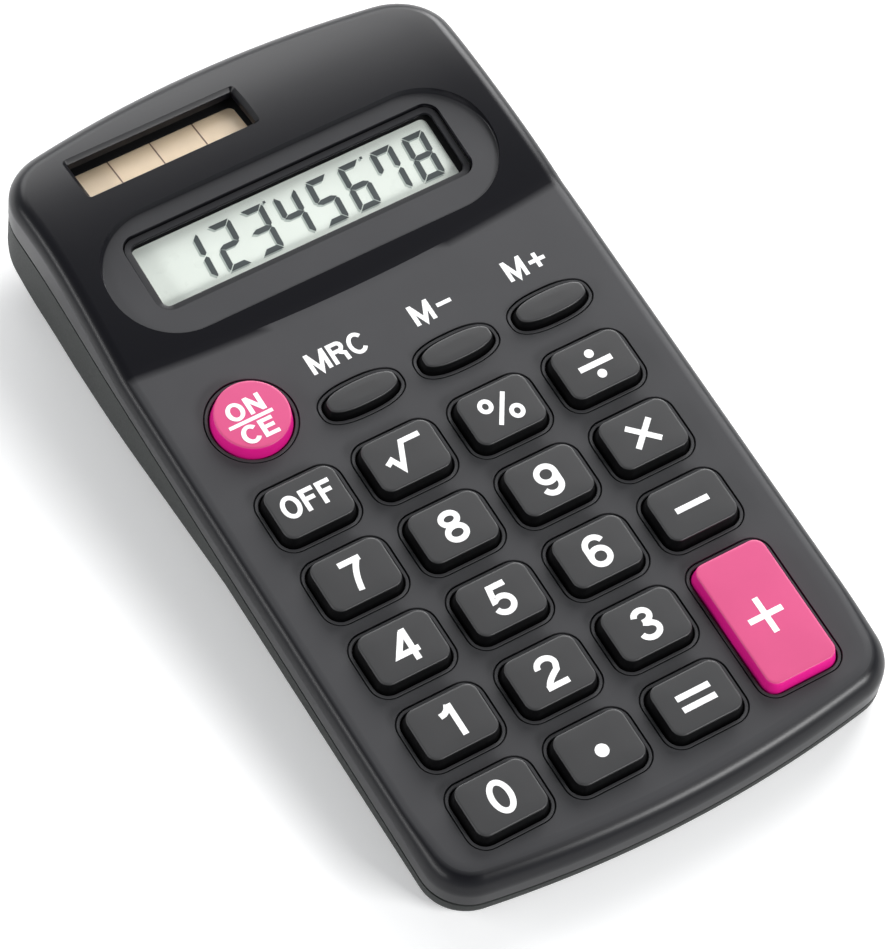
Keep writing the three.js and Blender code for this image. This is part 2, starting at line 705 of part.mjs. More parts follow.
function keyMat() {
  const width = 2 * BOARD_HALF_WIDTH;
  const length = MAT_BACK_Y - MAT_FRONT_Y;
  const middleY = (MAT_BACK_Y + MAT_FRONT_Y) / 2;
  const middleZ = MAT_TOP_Z - MAT_THICKNESS / 2;
  let mat = toManifold(box(width, length, MAT_THICKNESS, 0, middleY, middleZ));
  for (const key of KEYS) {
    const { top, base } = key.shape === memoryShape ? MEMORY_DOME : KEY_DOME;
    const height = DOME_HEIGHT + MAT_THICKNESS / 2;
    const dome = new THREE.CylinderGeometry(top, base, height, DOME_SIDES).rotateX(Math.PI / 2);
    mat = mat.add(toManifold(dome.translate(key.x, key.y, middleZ + height / 2)));
  }
  for (const [x, y] of BOARD_SCREWS) {
    const hole = uprightCylinder(BOARD_POST_RADIUS + GAP, BOARD_TOP_Z, MAT_TOP_Z + OVERCUT, x, y);
    mat = mat.subtract(toManifold(hole));
  }
  return toGeometry(mat);
}

function mainBoard() {
  const width = 2 * BOARD_HALF_WIDTH;
  const length = BOARD_BACK_Y - BOARD_FRONT_Y;
  const middleY = (BOARD_BACK_Y + BOARD_FRONT_Y) / 2;
  const outline = roundedRectangle(width, length, BOARD_CORNER_RADIUS);
  const rings = [atHeight(outline, BOARD_TOP_Z), atHeight(outline, BOARD_BOTTOM_Z)];
  let board = toManifold(ringSolid(rings).translate(0, middleY, 0));
  for (const [x, y] of BOARD_SCREWS) {
    const bore = BOARD_SCREW.shankRadius + SCREW_CLEARANCE;
    const hole = uprightCylinder(bore, BOARD_BOTTOM_Z - OVERCUT, BOARD_TOP_Z + OVERCUT, x, y);
    board = board.subtract(toManifold(hole));
  }
  return toGeometry(board);
}

function screw({ headRadius, headHeight, shankRadius, shankLength }) {
  const profile = [
    [0, -headHeight],
    [headRadius * SCREW_CROWN.width, -headHeight],
    [headRadius, -headHeight * SCREW_CROWN.side],
    [headRadius, 0],
    [shankRadius, 0],
    [shankRadius, shankLength * SCREW_TIP],
    [0, shankLength],
  ];
  return lathe(profile, SCREW_SIDES).rotateX(Math.PI / 2);
}

// An AAA cell lying along x, with its raised end to the right.
function batteryCell() {
  const half = CELL_BODY_LENGTH / 2;
  const profile = [
    [0, -half],
    [CELL_RADIUS - CELL_EDGE, -half],
    [CELL_RADIUS, CELL_EDGE - half],
    [CELL_RADIUS, half - CELL_EDGE],
    [CELL_RADIUS - CELL_EDGE, half],
    [CELL_NUB.radius, half],
    [CELL_NUB.radius, half + CELL_NUB.length],
    [0, half + CELL_NUB.length],
  ];
  return lathe(profile, CELL_SIDES).rotateZ(-Math.PI / 2).translate(-CELL_NUB.length / 2, 0, 0);
}

class ConicalHelix extends THREE.Curve {
  getPoint(t, target = new THREE.Vector3()) {
    const angle = 2 * Math.PI * SPRING_TURNS * t;
    const radius = THREE.MathUtils.lerp(...SPRING_RADII, t);
    const start = SPRING_WIRE_RADIUS / 2;
    const end = SPRING_LENGTH - SPRING_WIRE_RADIUS;
    const x = THREE.MathUtils.lerp(start, end, t);
    return target.set(x, radius * Math.cos(angle), radius * Math.sin(angle));
  }
}

function regularPolygon(radius, sides) {
  const shape = new THREE.Shape();
  for (let i = 0; i < sides; i += 1) {
    const angle = (2 * Math.PI * i) / sides;
    const point = [radius * Math.cos(angle), radius * Math.sin(angle)];
    if (i === 0) {
      shape.moveTo(...point);
    } else {
      shape.lineTo(...point);
    }
  }
  return shape;
}

function tube(path, radius, steps, sides) {
  const options = { steps, bevelEnabled: false, extrudePath: path };
  return new THREE.ExtrudeGeometry(regularPolygon(radius, sides), options);
}

function negativeContact() {
  const plate = toManifold(box(CONTACT_THICKNESS, ...CONTACT_SIZE, -CONTACT_THICKNESS / 2, 0, 0));
  const spring = toManifold(tube(new ConicalHelix(), SPRING_WIRE_RADIUS, SPRING_STEPS, SPRING_SIDES));
  return toGeometry(plate.add(spring));
}

function wire(route) {
  const points = route.map((point) => new THREE.Vector3(...point));
  const path = new THREE.CatmullRomCurve3(points, false, 'centripetal');
  return tube(path, WIRE_RADIUS, WIRE_STEPS, WIRE_SIDES);
}

function lathe(profile, sides) {
  return new THREE.LatheGeometry(profile.map(([x, y]) => new THREE.Vector2(x, y)), sides);
}

// A small electrolytic capacitor, lying along x.
function capacitor() {
  const { radius, edgeRadius, half, edgeHalf, sides } = CAPACITOR;
  const profile = [
    [0, -half],
    [edgeRadius, -half],
    [radius, -edgeHalf],
    [radius, edgeHalf],
    [edgeRadius, half],
    [0, half],
  ];
  return lathe(profile, sides).rotateZ(Math.PI / 2);
}

// A film resistor, lying along x, with its two leads.
function resistor() {
  const { radius, half, lead, neckHalf, leadHalf, sides } = RESISTOR;
  const profile = [
    [0, -leadHalf],
    [lead, -leadHalf],
    [lead, -neckHalf],
    [radius, -half],
    [radius, half],
    [lead, neckHalf],
    [lead, leadHalf],
    [0, leadHalf],
  ];
  return lathe(profile, sides).rotateZ(Math.PI / 2);
}

// The controller under its drop of black resin.
function chip() {
  return lathe(CHIP_PROFILE, CHIP_SIDES).rotateX(Math.PI / 2);
}

function slab([width, depth, height]) {
  return new THREE.BoxGeometry(width, depth, height);
}

// ------------------------------------------------------------------ materials

const plastic = (color, roughness) => new THREE.MeshStandardMaterial({ color, roughness, metalness: 0 });
const metal = (color, roughness) => new THREE.MeshStandardMaterial({ color, roughness, metalness: 1 });

const upperCasePlastic = plastic(0x3a3a3d, 0.42);
const lowerCasePlastic = plastic(0x454746, 0.6);
const keyPlastic = plastic(0x17171a, 0.3);
const pinkPlastic = plastic(0xe8488f, 0.35);
const clearPlastic = plastic(0xe4ebe6, 0.08);
const displayGlass = plastic(0xccd6cd, 0.2);
const solarFilm = plastic(0xdcc2a0, 0.35);
const reflectorFilm = plastic(0xb9bdb8, 0.4);
const siliconeRubber = plastic(0x8f9295, 0.8);
const boardLaminate = plastic(0x2f6b3c, 0.5);
const chipResin = plastic(0x101010, 0.4);
const capacitorSleeve = plastic(0x1b2a4a, 0.4);
const resistorBody = plastic(0xc8a36a, 0.5);
const cellLabel = plastic(0x3f6fae, 0.4);
const redWire = plastic(0xb3231f, 0.5);
const blackWire = plastic(0x161616, 0.5);
const springSteel = metal(0xc8c8c4, 0.3);
const screwSteel = metal(0x9a9a98, 0.35);

// ------------------------------------------------------------------- assembly

function part(name, geometry, material, parent, position = [0, 0, 0]) {
  const mesh = new THREE.Mesh(geometry, material);
  mesh.name = name;
  mesh.position.set(...position);
  parent.add(mesh);
  return mesh;
}

function planeGroup(plane, parent) {
  const group = new THREE.Group();
  group.applyMatrix4(plane);
  parent.add(group);
  return group;
}

const face = new THREE.Group();
part('upper_case', upperCase(), upperCasePlastic, face);
part('lower_case', lowerCase(), lowerCasePlastic, face);
part('battery_cover', batteryCover(), lowerCasePlastic, face);
for (const key of KEYS) {
  part(key.name, keyCap(key), key.pink ? pinkPlastic : keyPlastic, face, [key.x, key.y, 0]);
}

// Windows, display and solar cell hang under the case in their own planes.
const windowZ = -UPPER_WALL - GAP - WINDOW_THICKNESS / 2;
const belowWindowZ = windowZ - WINDOW_THICKNESS / 2 - GAP;
const display = planeGroup(DISPLAY_PLANE, face);
const windowSize = [
  DISPLAY_OPENING.width + 2 * WINDOW_MARGIN,
  DISPLAY_OPENING.height + 2 * WINDOW_MARGIN,
  WINDOW_THICKNESS,
];
const lcdZ = belowWindowZ - LCD_SIZE[2] / 2;
const reflectorZ = lcdZ - LCD_SIZE[2] / 2 - GAP - REFLECTOR_SIZE[2] / 2;
part('display_window', slab(windowSize), clearPlastic, display, [0, 0, windowZ]);
part('lcd_glass', slab(LCD_SIZE), displayGlass, display, [0, 0, lcdZ]);
part('lcd_reflector', slab(REFLECTOR_SIZE), reflectorFilm, display, [0, REFLECTOR_Y, reflectorZ]);
const connectorZ = BOARD_TOP_Z + GAP + CONNECTOR_SIZE[2] / 2;
part('lcd_connector', slab(CONNECTOR_SIZE), siliconeRubber, face, [0, CONNECTOR_Y, connectorZ]);
const solar = planeGroup(SOLAR_PLANE, face);
const solarWindowSize = [SOLAR_CELL_SIZE[0], SOLAR_CELL_SIZE[1], WINDOW_THICKNESS];
const solarCellZ = belowWindowZ - SOLAR_CELL_SIZE[2] / 2;
part('solar_window', slab(solarWindowSize), clearPlastic, solar, [0, 0, windowZ]);
part('solar_cell', slab(SOLAR_CELL_SIZE), solarFilm, solar, [0, 0, solarCellZ]);

part('key_mat', keyMat(), siliconeRubber, face);
part('main_board', mainBoard(), boardLaminate, face);

// Parts soldered under the board.
const underBoardZ = BOARD_BOTTOM_Z - GAP;
part('controller_chip', chip(), chipResin, face, [...CHIP_POSITION, underBoardZ]);
part('capacitor', capacitor(), capacitorSleeve, face, [
  ...CAPACITOR_POSITION,
  underBoardZ - CAPACITOR.radius,
]);
part('resistor', resistor(), resistorBody, face, [
  ...RESISTOR_POSITION,
  underBoardZ - RESISTOR.radius,
]);

CASE_SCREWS.forEach(([x, y], index) => {
  part(`case_screw_${index + 1}`, screw(CASE_SCREW), screwSteel, face, [x, y, caseScrewHeadZ(y)]);
});
BOARD_SCREWS.forEach(([x, y], index) => {
  const z = BOARD_BOTTOM_Z - GAP;
  part(`board_screw_${index + 1}`, screw(BOARD_SCREW), screwSteel, face, [x, y, z]);
});

const [negativeX, positiveX] = contactXs();
part('battery_cell', batteryCell(), cellLabel, face, [CELL_X, CELL_Y, CELL_Z]);
part('battery_contact_negative', negativeContact(), springSteel, face, [
  negativeX + CONTACT_THICKNESS / 2,
  CELL_Y,
  CELL_Z,
]);
part('battery_contact_positive', slab([CONTACT_THICKNESS, ...CONTACT_SIZE]), springSteel, face, [
  positiveX,
  CELL_Y,
  CELL_Z,
]);
for (const [name, route] of Object.entries(WIRE_ROUTES)) {
  part(name, wire(route), name.endsWith('red') ? redWire : blackWire, face);
}

// Tilt the face, then stand the lowest point on z = 0 under the middle.
const calculator = new THREE.Group();
face.rotation.x = Math.atan(TABLE_SLOPE);
calculator.add(face);
const bounds = new THREE.Box3().setFromObject(calculator, true);
const centre = bounds.getCenter(new THREE.Vector3());
face.position.set(-centre.x, -centre.y, -bounds.min.z);

export default calculator;
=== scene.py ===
import json
import math

import bmesh
import bpy
from mathutils import Matrix, Vector


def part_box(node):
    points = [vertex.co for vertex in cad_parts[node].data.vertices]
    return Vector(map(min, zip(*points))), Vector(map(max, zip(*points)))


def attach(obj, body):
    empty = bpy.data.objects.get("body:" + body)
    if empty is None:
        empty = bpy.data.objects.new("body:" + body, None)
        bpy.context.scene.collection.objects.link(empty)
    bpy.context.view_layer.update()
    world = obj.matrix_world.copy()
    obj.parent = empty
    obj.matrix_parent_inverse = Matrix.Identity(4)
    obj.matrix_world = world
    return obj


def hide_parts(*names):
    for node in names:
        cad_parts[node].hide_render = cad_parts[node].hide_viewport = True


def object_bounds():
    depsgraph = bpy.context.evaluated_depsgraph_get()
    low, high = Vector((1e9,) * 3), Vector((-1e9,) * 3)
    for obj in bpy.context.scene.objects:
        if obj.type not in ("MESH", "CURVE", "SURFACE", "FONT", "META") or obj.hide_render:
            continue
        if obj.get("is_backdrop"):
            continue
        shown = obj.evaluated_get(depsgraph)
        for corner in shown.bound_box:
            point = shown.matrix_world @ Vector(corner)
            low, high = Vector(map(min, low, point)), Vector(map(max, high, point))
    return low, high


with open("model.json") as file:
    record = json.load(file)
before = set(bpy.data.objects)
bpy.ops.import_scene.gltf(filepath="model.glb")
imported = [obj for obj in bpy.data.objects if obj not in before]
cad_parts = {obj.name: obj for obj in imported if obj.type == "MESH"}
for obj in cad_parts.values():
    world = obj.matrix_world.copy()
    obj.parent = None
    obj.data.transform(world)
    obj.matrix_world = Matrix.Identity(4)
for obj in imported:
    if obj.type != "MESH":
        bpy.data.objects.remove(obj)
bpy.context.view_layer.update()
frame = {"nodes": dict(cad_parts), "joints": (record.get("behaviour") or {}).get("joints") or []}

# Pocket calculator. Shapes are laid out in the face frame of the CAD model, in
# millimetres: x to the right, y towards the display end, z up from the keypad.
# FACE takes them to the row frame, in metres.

# ---- dimensions

# The display's connector is a plain box, so the middle of its box is exact.
CONNECTOR_CENTRE = (0, 28.6, -4.15)

CASE_WIDTH = 66.2
BACK_Y = 62.1
FRONT_Y = -60.1
BACK_NARROWING = 0.7
NARROWING_START_Y = 20
NARROWING_LENGTH = 27
BACK_CORNER = 8.5
FRONT_CORNER = 6.5
BACK_BOW = 135
FRONT_BOW = 166
CORNER_STEPS = 14
BOW_STEPS = 18
# Rows of points down the sides: first y, pitch and count, fine behind the crease.
FINE_ROWS = (52, 0.8, 53)
COARSE_ROWS = (8, 2.5, 25)

CREASE_MIDDLE_Y = 21.9
CREASE_SAG = 1.7
CREASE_SPREAD = 14
CREST_Y = 41
CREST_HEIGHT = 1.4
BACK_ROLL = 55
TOP_FILLET = 2.3
FRONT_FILLET = 3.2
FRONT_FILLET_START = -44
WALL = 1.6
PARTING = ((FRONT_Y, -5.5), (22.6, -4.0), (BACK_Y, -6.2))
PARTING_GAP = 0.3
PARTING_EDGE = 0.25
LIP_INSET = 0.7
LIP_HEIGHT = 0.9

REST_FRONT_Y = -55
FRONT_DEPTH = 8.8
TAPER_START = (-4, 9.3)
BELLY_FRONT_Y = 35
BELLY_BACK_Y = 45
BELLY_DEPTH = 15.8
MIN_RIM = 0.8
BOTTOM_FILLET = 2.0
FILLET_SHARE = 0.75

SQUARE_HOLE = (12.4, 9.9, 2.7)
TALL_HOLE = (12.4, 21, 2.7)
MEMORY_HOLE = (12.2, 5.9)
MEMORY_EXPONENT = 2.6
ROUND_HOLE = 12.2
# Sections of the openings, from the top down, as (inset, z) pairs.
# A key hole: a fine groove round a rim that is a little below the face.
KEY_HOLE_SECTION = (
    (-0.05, 1),
    (-0.05, 0.02),
    (0, -0.04),
    (0.03, -0.4),
    (0.17, -0.4),
    (0.2, -0.12),
    (0.25, -0.07),
    (0.54, -0.1),
    (0.62, -0.19),
    (0.62, -4),
)
ROUND_POINTS = 36
KEY_SIDE_INSET = 0.82
KEY_DRAFT = 0.34
KEY_EDGE = 0.26
KEY_CROWN = 0.07
CROWN_SHARES = (0.45, 0.7, 0.88, 0.97)
KEY_HEIGHT = 1.7
MEMORY_KEY_HEIGHT = 1.2
FLANGE_TOP = -1.8
FLANGE_BOTTOM = -2.4

DISPLAY_Y = 35.3
DISPLAY_LEAN = math.radians(3.3)
SURROUND_LEAN = math.radians(1.5)
SURROUND = (56.2, 18.2, 9.0)
SURROUND_BOW = 0.9
SURROUND_DEPTH = 0.75
# The surround's edge is steep in front and soft behind: (steep inset, soft inset, z).
SURROUND_SECTION = (
    (-0.06, -0.5, 2.5),
    (-0.04, -0.25, -0.1),
    (0, 0, -0.45),
    (0.03, 0.15, -0.68),
    (0.1, 0.35, -SURROUND_DEPTH),
)
DISPLAY_OPENING = (46.8, 12, 2.1)
DISPLAY_SHIFT = (0.1, 0.13)
DISPLAY_SHELF = (-1.44, -1.52)
DISPLAY_SECTION = (
    (-0.06, 1),
    (0, -1.45),
    (0.03, -1.8),
    (0.2, -1.8),
    (0.24, -1.46),
    (0.98, -1.5),
    (1.1, -1.55),
    (1.16, -1.66),
    (1.16, -4),
)
SOLAR_X = -10.6
SOLAR_Y = 52.5
SOLAR_OPENING = (25.5, 7.65, 0.7)
SOLAR_SECTION = (
    (-0.25, 2),
    (-0.12, 0.05),
    (0.02, -0.08),
    (0.5, -0.6),
    (0.58, -0.75),
    (0.58, -4),
)
PAINT_STEP = 0.08

# ---- the face frame

press_axis = next(j for j in frame["joints"] if j["child"] == "key_5")["axis"]
TILT = math.atan2(press_axis[1], -press_axis[2])
low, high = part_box("lcd_connector")
turn = Matrix.Rotation(TILT, 4, "X")
origin = (low + high) / 2 - turn @ (Vector(CONNECTOR_CENTRE) / 1000)
FACE = Matrix.Translation(origin) @ turn @ Matrix.Scale(0.001, 4)


def key_centre(node):
    """Middle of a key in the face frame, from the flange, which is its widest part."""
    lowest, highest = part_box(node)
    middle = (lowest + highest) / 2 - origin
    flange = (FLANGE_TOP + FLANGE_BOTTOM) / 2000
    y = (middle.y + math.sin(TILT) * flange) / math.cos(TILT)
    return middle.x * 1000, y * 1000


# ---- outlines


def smoothstep(value):
    value = min(1, max(0, value))
    return value * value * (3 - 2 * value)


def mapped(y, points):
    """Straight lines through a list of (y, value) pairs."""
    for (y0, v0), (y1, v1) in zip(points, points[1:]):
        if y <= y1 or (y1, v1) == points[-1]:
            return v0 + (v1 - v0) * (y - y0) / (y1 - y0)


def arc(cx, cy, radius, start, end, steps):
    """Points with their outward normals, on an arc measured clockwise from +y."""
    found = []
    for i in range(steps + 1):
        a = start + (end - start) * i / steps
        found.append((cx + radius * math.sin(a), cy + radius * math.cos(a), math.sin(a), math.cos(a)))
    return found


def mirrored(half):
    return half + [(-x, y, -nx, ny) for x, y, nx, ny in reversed(half)]


def side_x(y):
    return CASE_WIDTH / 2 - BACK_NARROWING * smoothstep((y - NARROWING_START_Y) / NARROWING_LENGTH)


def corner(bow, radius, end_y, half_width):
    """Where a bowed end meets a corner: the bow's centre, the corner's middle, and the angle."""
    x = half_width - radius
    centre = end_y - bow
    y = centre + math.sqrt((bow - radius) ** 2 - x * x)
    return centre, x, y, math.atan2(x, y - centre)


def side_rows():
    """The y of each point down a side. One of them is where the crease meets the side."""
    first, pitch, count = FINE_ROWS
    crease = CREASE_MIDDLE_Y + CREASE_SAG
    rows = [first - pitch * i for i in range(count)]
    rows = [y for y in rows if abs(y - crease) > 0.5] + [crease]
    first, pitch, count = COARSE_ROWS
    rows += [first - pitch * i for i in range(count)]
    return sorted((y for y in rows if y > -FINE_ROWS[0]), reverse=True)


def case_half():
    """The right half of the case's outline, from the middle of the back to the middle of the front."""
    clear = 0.4
    centre, x, y, end = corner(BACK_BOW, BACK_CORNER, BACK_Y, CASE_WIDTH / 2 - BACK_NARROWING)
    half = arc(0, centre, BACK_BOW, end / 24, end, BOW_STEPS)
    half += arc(x, y, BACK_CORNER, end, math.pi / 2, CORNER_STEPS)[1:]
    half += [(side_x(v), v, 1, 0) for v in side_rows() if v < y - clear]
    centre, x, y, end = corner(FRONT_BOW, FRONT_CORNER, -FRONT_Y, CASE_WIDTH / 2)
    half = [p for p in half if p[1] > clear - y]
    half += arc(x, -y, FRONT_CORNER, math.pi / 2, math.pi - end, CORNER_STEPS)
    half += arc(0, -centre, FRONT_BOW, math.pi - end, math.pi - end / 24, BOW_STEPS)[1:]
    return half


CASE_RING = mirrored(case_half())


def inset_ring(ring, inset):
    """The ring moved in along its normals. inset is a number or a function of y."""
    moved = []
    for x, y, nx, ny in ring:
        d = inset(y) if callable(inset) else inset
        moved.append((x - nx * d, y - ny * d))
    return moved


def rounded_rectangle(width, height, radius, steps=8):
    x, y = width / 2 - radius, height / 2 - radius
    quarter = math.pi / 2
    return mirrored(arc(x, y, radius, 0, quarter, steps) + arc(x, -y, radius, quarter, math.pi, steps))


def superellipse(width, height, exponent, pairs):
    """A rounded outline: a circle or an ellipse at exponent 2, squarer above it."""
    half = []
    for i in range(pairs):
        a = math.pi * (i + 0.5) / pairs
        c, s = math.cos(a), math.sin(a)
        x = width / 2 * abs(s) ** (2 / exponent)
        y = height / 2 * math.copysign(abs(c) ** (2 / exponent), c)
        nx = (x / (width / 2)) ** (exponent - 1) / (width / 2)
        ny = math.copysign((abs(y) / (height / 2)) ** (exponent - 1), y) / (height / 2)
        size = math.hypot(nx, ny)
        half.append((x, y, nx / size, ny / size))
    return mirrored(half)


# ---- case sections


def crease_y(x):
    return CREASE_MIDDLE_Y + CREASE_SAG * (2 * x / CASE_WIDTH) ** 2


def top_z(x, y):
    start = crease_y(x)
    if y <= start:
        return 0
    if y <= CREST_Y:
        s = 1 - (y - start) / (CREST_Y - start)
        return CREST_HEIGHT * (1 - s * s)
    return CREST_HEIGHT - (y - CREST_Y) ** 2 / (2 * BACK_ROLL)


def parting_z(y):
    return mapped(y, PARTING)


SLOPE = (BELLY_DEPTH - FRONT_DEPTH) / (BELLY_BACK_Y - REST_FRONT_Y)


def table_z(y):
    return -FRONT_DEPTH - SLOPE * (y - REST_FRONT_Y)


def under_z(y):
    if y <= REST_FRONT_Y:
        return table_z(y)
    if y <= BELLY_FRONT_Y:
        belly = (BELLY_FRONT_Y, table_z(BELLY_FRONT_Y))
        return mapped(y, ((REST_FRONT_Y, -FRONT_DEPTH), (TAPER_START[0], -TAPER_START[1]), belly))
    if y <= BELLY_BACK_Y:
        return table_z(y)
    reach = min(1, (y - BELLY_BACK_Y) / (BACK_Y - BELLY_BACK_Y))
    rim = PARTING[-1][1]
    curve = rim - (rim + BELLY_DEPTH) * math.sqrt(1 - reach * reach)
    return min(curve, parting_z(y) - MIN_RIM)


def top_fillet(y):
    return TOP_FILLET + (FRONT_FILLET - TOP_FILLET) * smoothstep((FRONT_FILLET_START - y) / 10)


# ---- mesh tools


class Builder:
    """Collects rings of points into one closed mesh."""

    def __init__(self):
        self.points = []
        self.faces = []

    def ring(self, outline, z):
        """Adds a ring. z is a number or a function of x and y."""
        start = len(self.points)
        for x, y in outline:
            self.points.append((x, y, z(x, y) if callable(z) else z))
        return list(range(start, len(self.points)))

    def join(self, upper, lower):
        count = len(upper)
        for i in range(count):
            n = (i + 1) % count
            self.faces.append((upper[i], upper[n], lower[n], lower[i]))

    def fill(self, ring, facing_up):
        self.faces.append(tuple(ring) if not facing_up else tuple(reversed(ring)))

    def grid(self, ring, z, columns, facing_up, bend=None):
        """Closes a ring that mirrors itself with rows of small faces across it."""
        count = len(ring)
        rows = []
        for i in range(count // 2):
            right, left = ring[i], ring[count - 1 - i]
            if i in (0, count // 2 - 1):
                rows.append([right, left])
                continue
            x0, y0, _ = self.points[right]
            row = [right]
            for k in range(1, columns):
                x = x0 * (1 - 2 * k / columns)
                y = y0 if bend is None else y0 - bend(x, x0, y0)
                row.append(len(self.points))
                self.points.append((x, y, z(x, y)))
            rows.append(row + [left])
        for a, b in zip(rows, rows[1:]):
            if len(a) == len(b) and len(a) > 2:
                faces = [(a[k], a[k + 1], b[k + 1], b[k]) for k in range(columns)]
            else:
                faces = [tuple(a + list(reversed(b)))]
            self.faces += [f if facing_up is False else tuple(reversed(f)) for f in faces]

    def mesh(self, name):
        mesh = bpy.data.meshes.new(name)
        mesh.from_pydata(self.points, [], self.faces)
        work = bmesh.new()
        work.from_mesh(mesh)
        bmesh.ops.remove_doubles(work, verts=work.verts, dist=1e-5)
        bmesh.ops.recalc_face_normals(work, faces=work.faces)
        work.to_mesh(mesh)
        work.free()
        return mesh


def new_object(name, mesh):
    made = bpy.data.objects.new(name, mesh)
    bpy.context.scene.collection.objects.link(made)
    return made


def boolean(obj, other, operation):
    """Cuts or adds a closed mesh, which is used up, and leaves the result in obj's own mesh."""
    modifier = obj.modifiers.new("cut", "BOOLEAN")
    modifier.operation = operation
    modifier.solver = "EXACT"
    modifier.object = other
    graph = bpy.context.evaluated_depsgraph_get()
    made = bpy.data.meshes.new_from_object(obj.evaluated_get(graph))
    obj.modifiers.clear()
    obj.data = made
    bpy.data.objects.remove(other, do_unlink=True)


def join_meshes(name, meshes):
    work = bmesh.new()
    for mesh in meshes:
        work.from_mesh(mesh)
    joined = bpy.data.meshes.new(name)
    work.to_mesh(joined)
    work.free()
    return joined


def shade(obj, degrees):
    """Smooth faces, with sharp edges above an angle and normals that keep flats flat."""
    work = bmesh.new()
    work.from_mesh(obj.data)
    bmesh.ops.dissolve_degenerate(work, edges=work.edges, dist=1e-6)
    limit = math.radians(degrees)
    for face in work.faces:
        face.smooth = True
    for edge in work.edges:
        edge.smooth = len(edge.link_faces) == 2 and edge.calc_face_angle(0) < limit
    work.to_mesh(obj.data)
    work.free()
    weigh = obj.modifiers.new("normals", "WEIGHTED_NORMAL")
    weigh.keep_sharp = True
    weigh.weight = 80


def paint(obj, amount):
    """Stores how textured the surface is. Each face's corners are read just inside the face."""
    layer = obj.data.attributes.new("textured", "FLOAT", "CORNER")
    for face in obj.data.polygons:
        for corner_index in face.loop_indices:
            point = obj.data.vertices[obj.data.loops[corner_index].vertex_index].co
            inward = face.center - point
            step = min(1, PAINT_STEP / max(inward.length, PAINT_STEP / 2))
            layer.data[corner_index].value = amount(*(point + inward * step))


def finish_piece(obj, body, material, replaces=(), degrees=32, plane=None):
    """Takes a piece to the row frame, gives it its material and body, and hides the CAD parts it replaces.
    """
    obj.data.transform(FACE if plane is None else FACE @ plane)
    obj.data.materials.clear()
    obj.data.materials.append(material)
    shade(obj, degrees)
    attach(obj, body)
    if replaces:
        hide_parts(*replaces)


# ---- materials


def add_node(tree, kind, **values):
    """A new node with some of its sockets set. In a socket's name, _ stands for a space."""
    made = tree.nodes.new(kind)
    for socket, value in values.items():
        made.inputs[socket.replace("_", " ")].default_value = value
    return made


def noise(tree, place, size, detail):
    """Noise with a pattern of a given size in millimetres."""
    made = add_node(tree, "ShaderNodeTexNoise", Scale=1000 / size, Detail=detail)
    tree.links.new(place.outputs["Object"], made.inputs["Vector"])
    return made.outputs["Fac"]


def mottled(tree, place, color, options):
    """A colour that varies a little from place to place."""
    spread = options.get("spread", 0.08)
    tint = tree.nodes.new("ShaderNodeValToRGB")
    dark, light = tint.color_ramp.elements
    dark.color = (*[c * (1 - spread) for c in color], 1)
    light.color = (*[min(1, c * (1 + spread)) for c in color], 1)
    dark.position, light.position = 0.35, 0.65
    tree.links.new(noise(tree, place, options.get("mottle", 6), 4), tint.inputs["Fac"])
    return tint.outputs["Color"]


def blended(tree, finish, kind, polished, textured):
    """Goes from a value for polished surface to the textured one, by the painted attribute."""
    blend = tree.nodes.new("ShaderNodeMix")
    blend.data_type = kind
    blend.inputs["A"].default_value = polished
    tree.links.new(finish.outputs["Fac"], blend.inputs["Factor"])
    tree.links.new(textured, blend.inputs["B"])
    return blend.outputs["Result"]


def node_material(name, color, roughness, **options):
    """A moulded plastic or metal: mottled colour, uneven gloss and a fine grain.

    grain is the size of the texture in millimetres, depth its height in microns.
    polished is the colour where the piece's "textured" attribute is 0.
    """
    material = bpy.data.materials.new(name)
    material.use_nodes = True
    tree = material.node_tree
    shader = tree.nodes["Principled BSDF"]
    shader.inputs["Metallic"].default_value = options.get("metallic", 0)
    shader.inputs["Specular IOR Level"].default_value = options.get("specular", 0.5)
    shader.inputs["Alpha"].default_value = options.get("alpha", 1)
    place = tree.nodes.new("ShaderNodeTexCoord")
    base = mottled(tree, place, color, options)

    grain = noise(tree, place, options.get("grain", 0.35), 3)
    uneven = options.get("uneven", 0.04)
    gloss = add_node(
        tree, "ShaderNodeMapRange",
        From_Min=0.3, From_Max=0.7, To_Min=roughness - uneven, To_Max=roughness + uneven,
    )
    tree.links.new(grain, gloss.inputs["Value"])
    rough = gloss.outputs["Result"]

    if "polished" in options:
        finish = tree.nodes.new("ShaderNodeAttribute")
        finish.attribute_name = "textured"
        base = blended(tree, finish, "RGBA", (*options["polished"], 1), base)
        rough = blended(tree, finish, "FLOAT", options["polished_roughness"], rough)
    tree.links.new(base, shader.inputs["Base Color"])
    tree.links.new(rough, shader.inputs["Roughness"])

    strength, depth = options.get("strength", 0.25), options.get("depth", 10)
    bump = add_node(tree, "ShaderNodeBump", Strength=strength, Distance=depth / 1e6)
    tree.links.new(grain, bump.inputs["Height"])
    tree.links.new(bump.outputs["Normal"], shader.inputs["Normal"])
    return material


def lin(red, green, blue):
    """A colour as it looks, in 0 to 255, to a linear one."""
    found = []
    for value in (red, green, blue):
        c = value / 255
        found.append(c / 12.92 if c <= 0.04045 else ((c + 0.055) / 1.055) ** 2.4)
    return tuple(found)


